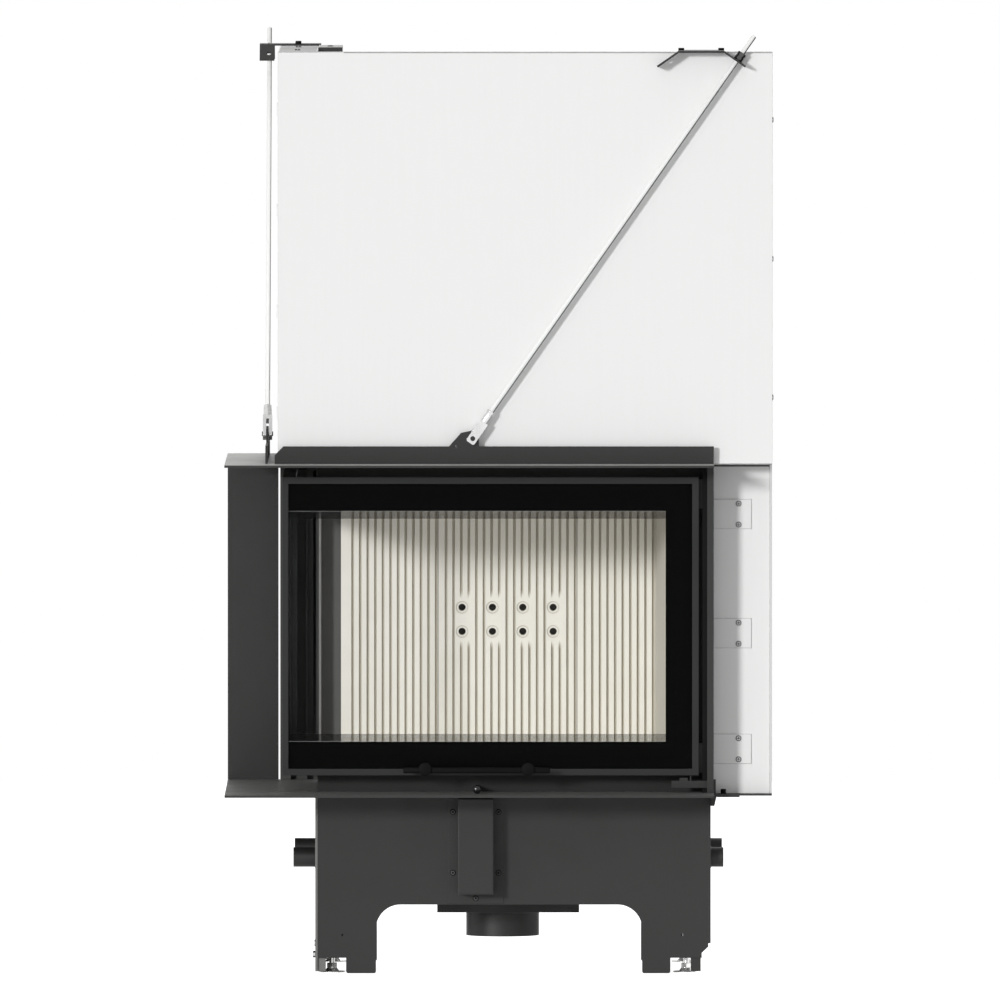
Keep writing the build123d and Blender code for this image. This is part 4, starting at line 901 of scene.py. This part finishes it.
@dataclass
class Fasteners:
    """Screws and bolts of the casing, the cover, the column, the straps and the legs."""

    cover_x: float = -40.0
    cover_face: float = -250.0
    cover_pitch: float = 78.0
    cover_rows: Span = (172.5, 276.5)
    cover_low: float = 128.7
    casing_edge: Span = (465.7, -307.5)
    casing_rows: tuple[float, ...] = (986.5, 1222.5, 1459.5)
    clip_at: Span = (408.7, -242.0)
    clip_middles: tuple[float, ...] = (384.0, 581.5, 785.0)
    clip_pitch: float = 36.0
    column_bolt: Seat = Seat((382.7, -255.0, 308.0), UP, Drive.HEX, 9.0, 8.0)
    leg_face: float = -314.0
    leg_columns: Span = (-232.5, 149.0)
    leg_row: float = 32.5
    strap_top: float = 1577.5
    front_bolts: Span = (310.5, 378.5)
    front_bolt_depth: float = -284.7
    side_bolts: Span = (269.0, 337.0)
    side_bolt_across: float = -346.2
    beam_screw: Point = (-289.5, 78.0, 1577.0)
    lid_top: float = 1574.5
    rivet_columns: Span = (-347.0, -342.0)
    rivet_rows: Span = (-143.0, 118.0)
    head_radius: float = 4.8
    head_height: float = 1.8

    def bright_seats(self) -> list[Seat]:
        """List the zinc fasteners.

        Returns:
            Their places.
        """
        seats = [Seat((*self.casing_edge, z), RIGHT) for z in self.casing_rows]
        seats += [Seat((*self.clip_at, z + side * self.clip_pitch / 2), FRONT)
                  for z in self.clip_middles for side in (-1, 1)]
        seats += [Seat((self.leg_face, y, self.leg_row), LEFT, Drive.HEX) for y in self.leg_columns]
        return seats + [Seat((x, y, self.lid_top), UP, Drive.RIVET, 4.4, 2.5)
                        for x in self.rivet_columns for y in self.rivet_rows]

    def dark_seats(self) -> list[Seat]:
        """List the blackened fasteners.

        Returns:
            Their places.
        """
        seats = [Seat((self.cover_x + side * self.cover_pitch / 2, self.cover_face, z), FRONT)
                 for z in self.cover_rows for side in (-1, 1)]
        seats += [Seat((self.cover_x, self.cover_face, self.cover_low), FRONT), self.column_bolt]
        seats += [Seat((x, self.front_bolt_depth, self.strap_top), UP, Drive.HEX) for x in self.front_bolts]
        seats += [Seat((self.side_bolt_across, y, self.strap_top), UP, Drive.HEX) for y in self.side_bolts]
        return seats + [Seat(self.beam_screw, UP)]

    def build(self) -> None:
        """Build the fasteners of each colour as one piece."""
        for name, seats, finish in (("bright_screws", self.bright_seats(), SCREW),
                                    ("dark_screws", self.dark_seats(), DARK_SCREW)):
            maker = Maker(name)
            for seat in seats:
                if seat.drive is Drive.CROSS:
                    maker.cross_head(seat.at, seat.out, self.head_radius, self.head_height)
                elif seat.drive is Drive.RIVET:
                    profile = [(seat.across / 2 * r, seat.height * h) for r, h in RIVET_PROFILE]
                    maker.turned(profile, seat.at, seat.out, 24)
                else:
                    maker.hexagon(seat.at, seat.out, seat.across, seat.height)
            item = maker.piece(coating(finish), Body.INSERT, "bright_zinc")
            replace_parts(item, "fasteners")


# -------- tie rods
@dataclass
class TieRods:
    """Two slanting rods from the shelf's lugs to the straps on the casing's top edge."""

    pins: tuple[Point, Point] = ((-44.9, -329.5, 917.0), (-396.5, -86.4, 917.0))
    leans: tuple[Point, Point] = ((451.0, 0.0, 644.7), (0.0, 451.0, 644.7))
    start: float = 27.0
    overrun: float = 50.0
    radius: float = 4.0
    core: float = 3.625
    pitch: float = 1.25
    chamfer: float = 1.0
    lower_thread: float = 62.0
    upper_thread: float = 40.0
    neck: float = 50.0
    nut_across: float = 13.0
    nut_height: float = 6.5
    washer_radius: float = 8.0
    washer_sheet: float = 1.6
    washer_rim: float = 0.2
    washer_gap: float = 0.1

    def rod(self, maker: Maker, pin: Vector, way: Vector) -> None:
        """Build one rod with its threads.

        Args:
            maker: mesh that gets it.
            pin: pin of its fork.
            way: from the pin to the strap's hole.
        """
        along = way.normalized()
        smooth_low = self.start + self.lower_thread
        smooth_high = way.length - self.upper_thread
        smooth = smooth_high - smooth_low
        end = way.length + self.overrun - self.chamfer
        core, radius = self.core, self.radius
        maker.thread(pin + along * self.start, along, self.lower_thread, radius, self.pitch)
        maker.turned([(core, 0.0), (radius, self.chamfer), (radius, smooth - self.chamfer), (core, smooth)],
                     pin + along * smooth_low, along)
        maker.thread(pin + along * smooth_high, along, end - smooth_high, radius, self.pitch)
        maker.turned([(core, 0.0), (core, self.chamfer * 0.4), (core * 0.7, self.chamfer)],
                     pin + along * end, along, 20)

    def nuts(self, jam: Maker, maker: Maker, pin: Vector, way: Vector) -> None:
        """Build the jam nut at the fork and the washer with two nuts at the strap.

        Args:
            jam: mesh that gets the jam nut.
            maker: mesh that gets the washer and the two nuts.
            pin: pin of the fork.
            way: from the pin to the strap's hole.
        """
        along = way.normalized()
        washer = way.length + self.washer_gap
        first = washer + self.washer_sheet
        for mesh, height in ((jam, self.neck), (maker, first), (maker, first + self.nut_height)):
            mesh.hexagon(pin + along * height, along, self.nut_across, self.nut_height)
        wide, rim, sheet = self.washer_radius, self.washer_rim, self.washer_sheet
        maker.turned([(wide - rim, 0.0), (wide, rim), (wide, sheet - rim), (wide - rim, sheet)],
                     pin + along * washer, along, 40)

    def build(self) -> None:
        """Build both rods and their nuts."""
        rods, jams, nuts = Maker("threaded_rods"), Maker("jam_nuts"), Maker("strap_nuts")
        for pin, way in zip(self.pins, self.leans):
            self.rod(rods, Vector(pin), Vector(way))
            self.nuts(jams, nuts, Vector(pin), Vector(way))
        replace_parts(rods.piece(coating(ZINC), Body.INSERT, "bright_zinc", 50.0), "tie_rods")
        for maker, finish in ((jams, BRIGHT), (nuts, DARK_SCREW)):
            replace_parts(maker.piece(coating(finish), Body.INSERT, "bright_zinc"), "fasteners")


# -------- door
@dataclass
class Door:
    """Printed borders of the two panes with a painted glint line inside them, and the handle with its round
    plates.
    """

    left: float = -369.5
    front: float = -310.0
    right: float = 340.2
    back: float = 194.0
    low: float = 341.5
    high: float = 850.0
    band: float = 11.3
    strip: float = 10.3
    pane_back: float = 4.7
    print_sheet: float = 0.25
    window_low: float = 398.9
    window_high: float = 792.5
    side_border: float = 45.0
    fade: float = 13.2
    glint_line: float = 0.9
    handle_x: float = -38.5
    handle_z: float = 351.5
    handle_length: float = 250.0
    handle_height: float = 10.0
    handle_reach: float = 34.0
    handle_thickness: float = 8.0
    handle_edge: float = 2.4
    boss_pitch: float = 175.6
    boss_radius: float = 11.2
    boss_thickness: float = 3.0
    boss_rise: float = 2.0
    stem_radius: float = 6.0

    def strips(self, end: float) -> dict[Pane, list[tuple[float, float, float, float]]]:
        """List the printed strips and the painted glint lines of a wing, measured from the corner along it.

        Args:
            end: free end of the pane, from the corner.

        Returns:
            Start, end, low and high of each strip, by finish.
        """
        start, inner = self.strip, end - self.side_border
        low, high = self.window_low, self.window_high
        fade, line = self.fade, self.glint_line
        return {
            PRINT: [(start, end, self.low + self.band, low), (start, end, high, self.high - self.band),
                    (inner, end, low, high)],
            HALFTONE: [(start, inner, low + line, low + fade), (start, inner, high - fade, high - line)],
            GLINT: [(start, inner, low, low + line), (start, inner, high - line, high)],
        }

    def prints(self) -> None:
        """Print the borders on the inner faces of both panes, with the painted glint lines along them."""
        near, far = self.pane_back, self.pane_back + self.print_sheet
        front_strips = self.strips(self.right - self.left - self.band)
        side_strips = self.strips(self.back - self.front - self.band)
        # The pieces of kind line hold the painted glint lines.
        for kind, finish in (("border", PRINT), ("fade", HALFTONE), ("line", GLINT)):
            maker = Maker("pane_" + kind)
            for a, b, low, high in front_strips[finish]:
                maker.block((self.left + a, self.front + near, low), (self.left + b, self.front + far, high))
            for a, b, low, high in side_strips[finish]:
                maker.block((self.left + near, self.front + a, low), (self.left + far, self.front + b, high))
            maker.piece(coating(finish), Body.DOOR, "fire_glass")

    def handle(self) -> None:
        """Build the flat grip on its two stems, with a round plate in front of each."""
        maker = Maker("door_handle")
        front = self.front - self.handle_reach
        grip_back = front + self.handle_thickness
        half, tall = self.handle_length / 2, self.handle_height / 2
        maker.block((self.handle_x - half, front, self.handle_z - tall),
                    (self.handle_x + half, grip_back, self.handle_z + tall), self.handle_edge)
        stem = [(self.stem_radius, 0.0), (self.stem_radius, self.front - grip_back)]
        boss = [(self.boss_radius * r, self.boss_thickness * h) for r, h in BOSS_PROFILE]
        boss_front = front - self.boss_thickness
        for side in (-1, 1):
            x = self.handle_x + side * self.boss_pitch / 2
            maker.turned(stem, (x, grip_back, self.handle_z), BACK, 40)
            maker.turned(boss, (x, boss_front, self.handle_z + self.boss_rise), BACK, 40)
        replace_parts(maker.piece(coating(GRIP_PAINT), Body.DOOR, "door_paint"), "handle")

    def build(self) -> None:
        """Build the door's dressed pieces."""
        self.prints()
        self.handle()


# -------- feet
@dataclass
class Feet:
    """Four levelling feet, each a plate, a cone, a nut and a threaded stem."""

    columns: dict[str, float] = field(default_factory=lambda: {"left": -285.5, "right": 319.7})
    rows: dict[str, float] = field(default_factory=lambda: {"front": -214.5, "rear": 131.0})
    disc_radius: float = 23.0
    disc_height: float = 3.0
    rim: float = 0.8
    cone_step: float = 0.2
    cone_radius: float = 13.0
    cone_top: float = 9.0
    nut_across: float = 17.0
    nut_height: float = 8.0
    stem_radius: float = 5.0
    stem_top: float = 72.0
    pitch: float = 1.5

    def foot(self, maker: Maker, x: float, y: float) -> None:
        """Build one foot.

        Args:
            maker: mesh that gets it.
            x: its place to the right.
            y: its place to the back.
        """
        disc, top, rim = self.disc_radius, self.disc_height, self.rim
        nut_top = self.cone_top + self.nut_height
        maker.turned([(disc - rim, 0.0), (disc, rim), (disc, top - rim), (disc - rim, top),
                      (self.cone_radius, top + self.cone_step), (self.nut_across / 2, self.cone_top)],
                     (x, y, 0.0), UP, 48)
        maker.hexagon((x, y, self.cone_top), UP, self.nut_across, self.nut_height)
        maker.thread((x, y, nut_top), UP, self.stem_top - nut_top, self.stem_radius, self.pitch)

    def build(self) -> None:
        """Build each foot on its own body."""
        bright = coating(FOOT_ZINC)
        for row, y in self.rows.items():
            for column, x in self.columns.items():
                node = f"foot_{row}_{column}"
                maker = Maker(node + "_turned")
                self.foot(maker, x, y)
                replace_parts(maker.piece(bright, Body(node), "bright_zinc"), node)


# -------- hoist
@dataclass
class Hoist:
    """Two steel ropes from the door's shoes over the pulleys to the counterweights."""

    pulley_z: float = 1500.5
    run: float = 35.0
    radius: float = 1.5
    shoe_top: float = 846.0
    weight_run_low: float = 972.0
    travel: float = 480.0
    lines: dict[str, tuple[Point, Point]] = field(default_factory=lambda: {
        "right": ((352.7, -286.0, 0.0), RIGHT),
        "rear": ((-345.5, 203.0, 0.0), BACK),
    })

    def build(self) -> None:
        """Build each rope as a straight run up from the door's shoe and a run over the pulley."""
        rope = coating(ROPE)
        for side, (start, over) in self.lines.items():
            foot, way, up = Vector(start), Vector(over), Vector(UP)
            low, high = foot + up * self.shoe_top, foot + up * self.pulley_z
            maker = Maker(side + "_rope_run")
            maker.tube([low.lerp(high, i / 12) for i in range(13)], self.radius)
            lifted = maker.piece(rope, Body.INSERT, "wire_rope")
            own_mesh(lifted)
            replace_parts(lifted, side + "_cable")
            turns = [math.pi * i / 24 for i in range(25)]
            points = [high + way * self.run * (1 - math.cos(turn)) + up * self.run * math.sin(turn)
                      for turn in turns]
            end = foot + way * 2 * self.run + up * self.weight_run_low
            points += [points[-1].lerp(end, i / 10) for i in range(1, 11)]
            maker = Maker(side + "_rope_bend")
            maker.tube(points, self.radius)
            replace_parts(maker.piece(rope, Body.INSERT, "wire_rope"), side + "_cable")


# -------- air control
@dataclass
class AirControl:
    """Domed, knurled knob on the air control rod."""

    at: Point = (-37.6, -347.5, 319.0)
    length: float = 25.0
    radius: float = 7.2
    body_share: float = 0.97
    rim_share: float = 0.9
    rim: float = 1.0
    dome: float = 4.5
    dome_steps: int = 8
    ridges: int = 30
    ridge_radius: float = 0.3
    ridge_share: float = 0.955
    ridge_twist: float = 0.05
    ridge_margins: Span = (1.0, 3.0)
    ridge_points: int = 6

    def build(self) -> None:
        """Build the knob with a domed front, a knurled middle and a smooth rim."""
        maker = Maker("air_knob_knurled")
        wide = self.radius * self.body_share
        turns = [math.pi / 2 * i / self.dome_steps for i in range(1, self.dome_steps + 1)]
        face = [(wide * math.sin(turn), self.dome * (1 - math.cos(turn))) for turn in turns]
        rim = [(wide, self.length - self.rim), (self.radius * self.rim_share, self.length)]
        maker.turned(face + rim, self.at, BACK, 48)
        x, y, z = self.at
        reach = self.radius * self.ridge_share
        first = self.dome + self.ridge_margins[0]
        last = self.length - self.ridge_margins[1]
        for i in range(self.ridges):
            points = []
            for k in range(self.ridge_points):
                turn = 2 * math.pi * i / self.ridges + self.ridge_twist * k
                depth = first + k * (last - first) / (self.ridge_points - 1)
                points.append((x + reach * math.cos(turn), y + depth, z + reach * math.sin(turn)))
            maker.tube(points, self.ridge_radius, 5)
        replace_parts(maker.piece(coating(KNOB), Body.AIR_CONTROL, "black_steel"), "air_knob")


# -------- welds
@dataclass
class Welds:
    """Weld beads where the tubes, the spigot and the flue collar meet their plates."""

    bead: float = 1.12
    ripple: float = 0.22
    ripple_pitch: float = 1.6
    tube_ring: float = 17.25
    tube_rows: Span = (-208.5, 125.0)
    tube_z: float = 197.5
    side_faces: Span = (-314.0, 361.2)
    spigot_at: Point = (6.0, -42.0, 96.6)
    spigot_ring: float = 62.9
    collar_at: Point = (6.6, 15.0, 1188.4)
    collar_ring: float = 100.4

    def ring(self, maker: Maker, middle: Point, normal: Point, radius: float) -> None:
        """Lay a rippled bead around a tube.

        Args:
            maker: mesh that gets it.
            middle: middle of the ring.
            normal: axis of the tube.
            radius: radius of the ring.
        """
        place = placed(middle, normal)
        count = max(24, int(radius * 6.3 / self.ripple_pitch) // 2 * 2)
        points = [place @ spot for spot in circle(radius, 0.0, count)]
        maker.tube(points, self.bead, 6, closed=True, ripple=self.ripple)

    def build(self) -> None:
        """Lay all the beads."""
        maker = Maker("weld_beads")
        for y in self.tube_rows:
            for x in self.side_faces:
                self.ring(maker, (x, y, self.tube_z), RIGHT, self.tube_ring)
        self.ring(maker, self.spigot_at, UP, self.spigot_ring)
        self.ring(maker, self.collar_at, UP, self.collar_ring)
        maker.piece(coating(PAINT), Body.INSERT, "black_steel", 60.0)


# -------- trims
@dataclass(frozen=True)
class Trim:
    """Thin slab on the front of a solid."""

    name: str
    finish: Finish
    slot: str
    across: Span
    heights: Span
    front: float


@dataclass
class Trims:
    """Painted highlight on the edge of the firebox's rear jamb, a dark strip across the column's panel and
    painted shade on the top rim of the casing.
    """

    sheet: float = 0.3
    trims: tuple[Trim, ...] = (
        Trim("jamb_edge", PAINTED_EDGE_GREY, "black_steel", (-310.0, -306.0), (349.0, 847.0), 127.0),
        # A dark strip in the seal fibre material across the column's panel, under the casing's lower edge.
        Trim("panel_dark_strip", FIBRE, "seal_fibre", (366.2, 461.2), (866.0, 868.6), -240.0),
        Trim("casing_rim", PAINTED_EDGE_GREY, "zinc_sheet", (-264.0, 465.0), (1573.4, 1574.5), -315.5),
    )

    def build(self) -> None:
        """Build each slab just before the face that it belongs to."""
        for trim in self.trims:
            maker = Maker(trim.name)
            (x0, x1), (z0, z1) = trim.across, trim.heights
            maker.block((x0, trim.front - self.sheet, z0), (x1, trim.front, z1))
            maker.piece(coating(trim.finish), Body.INSERT, trim.slot)


def main() -> None:
    """Load the frame, build every sub-assembly in order and report it."""
    logging.basicConfig(level=logging.INFO, format="%(name)s: %(message)s")
    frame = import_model()
    Studio().build()
    dress(frame["nodes"])
    for part in (Door(), TieRods(), Fasteners(), Feet(), Hoist(), AirControl(), Welds(), Trims()):
        part.build()
        log.info("built %s", type(part).__name__)


if __name__ == "__main__":
    main()
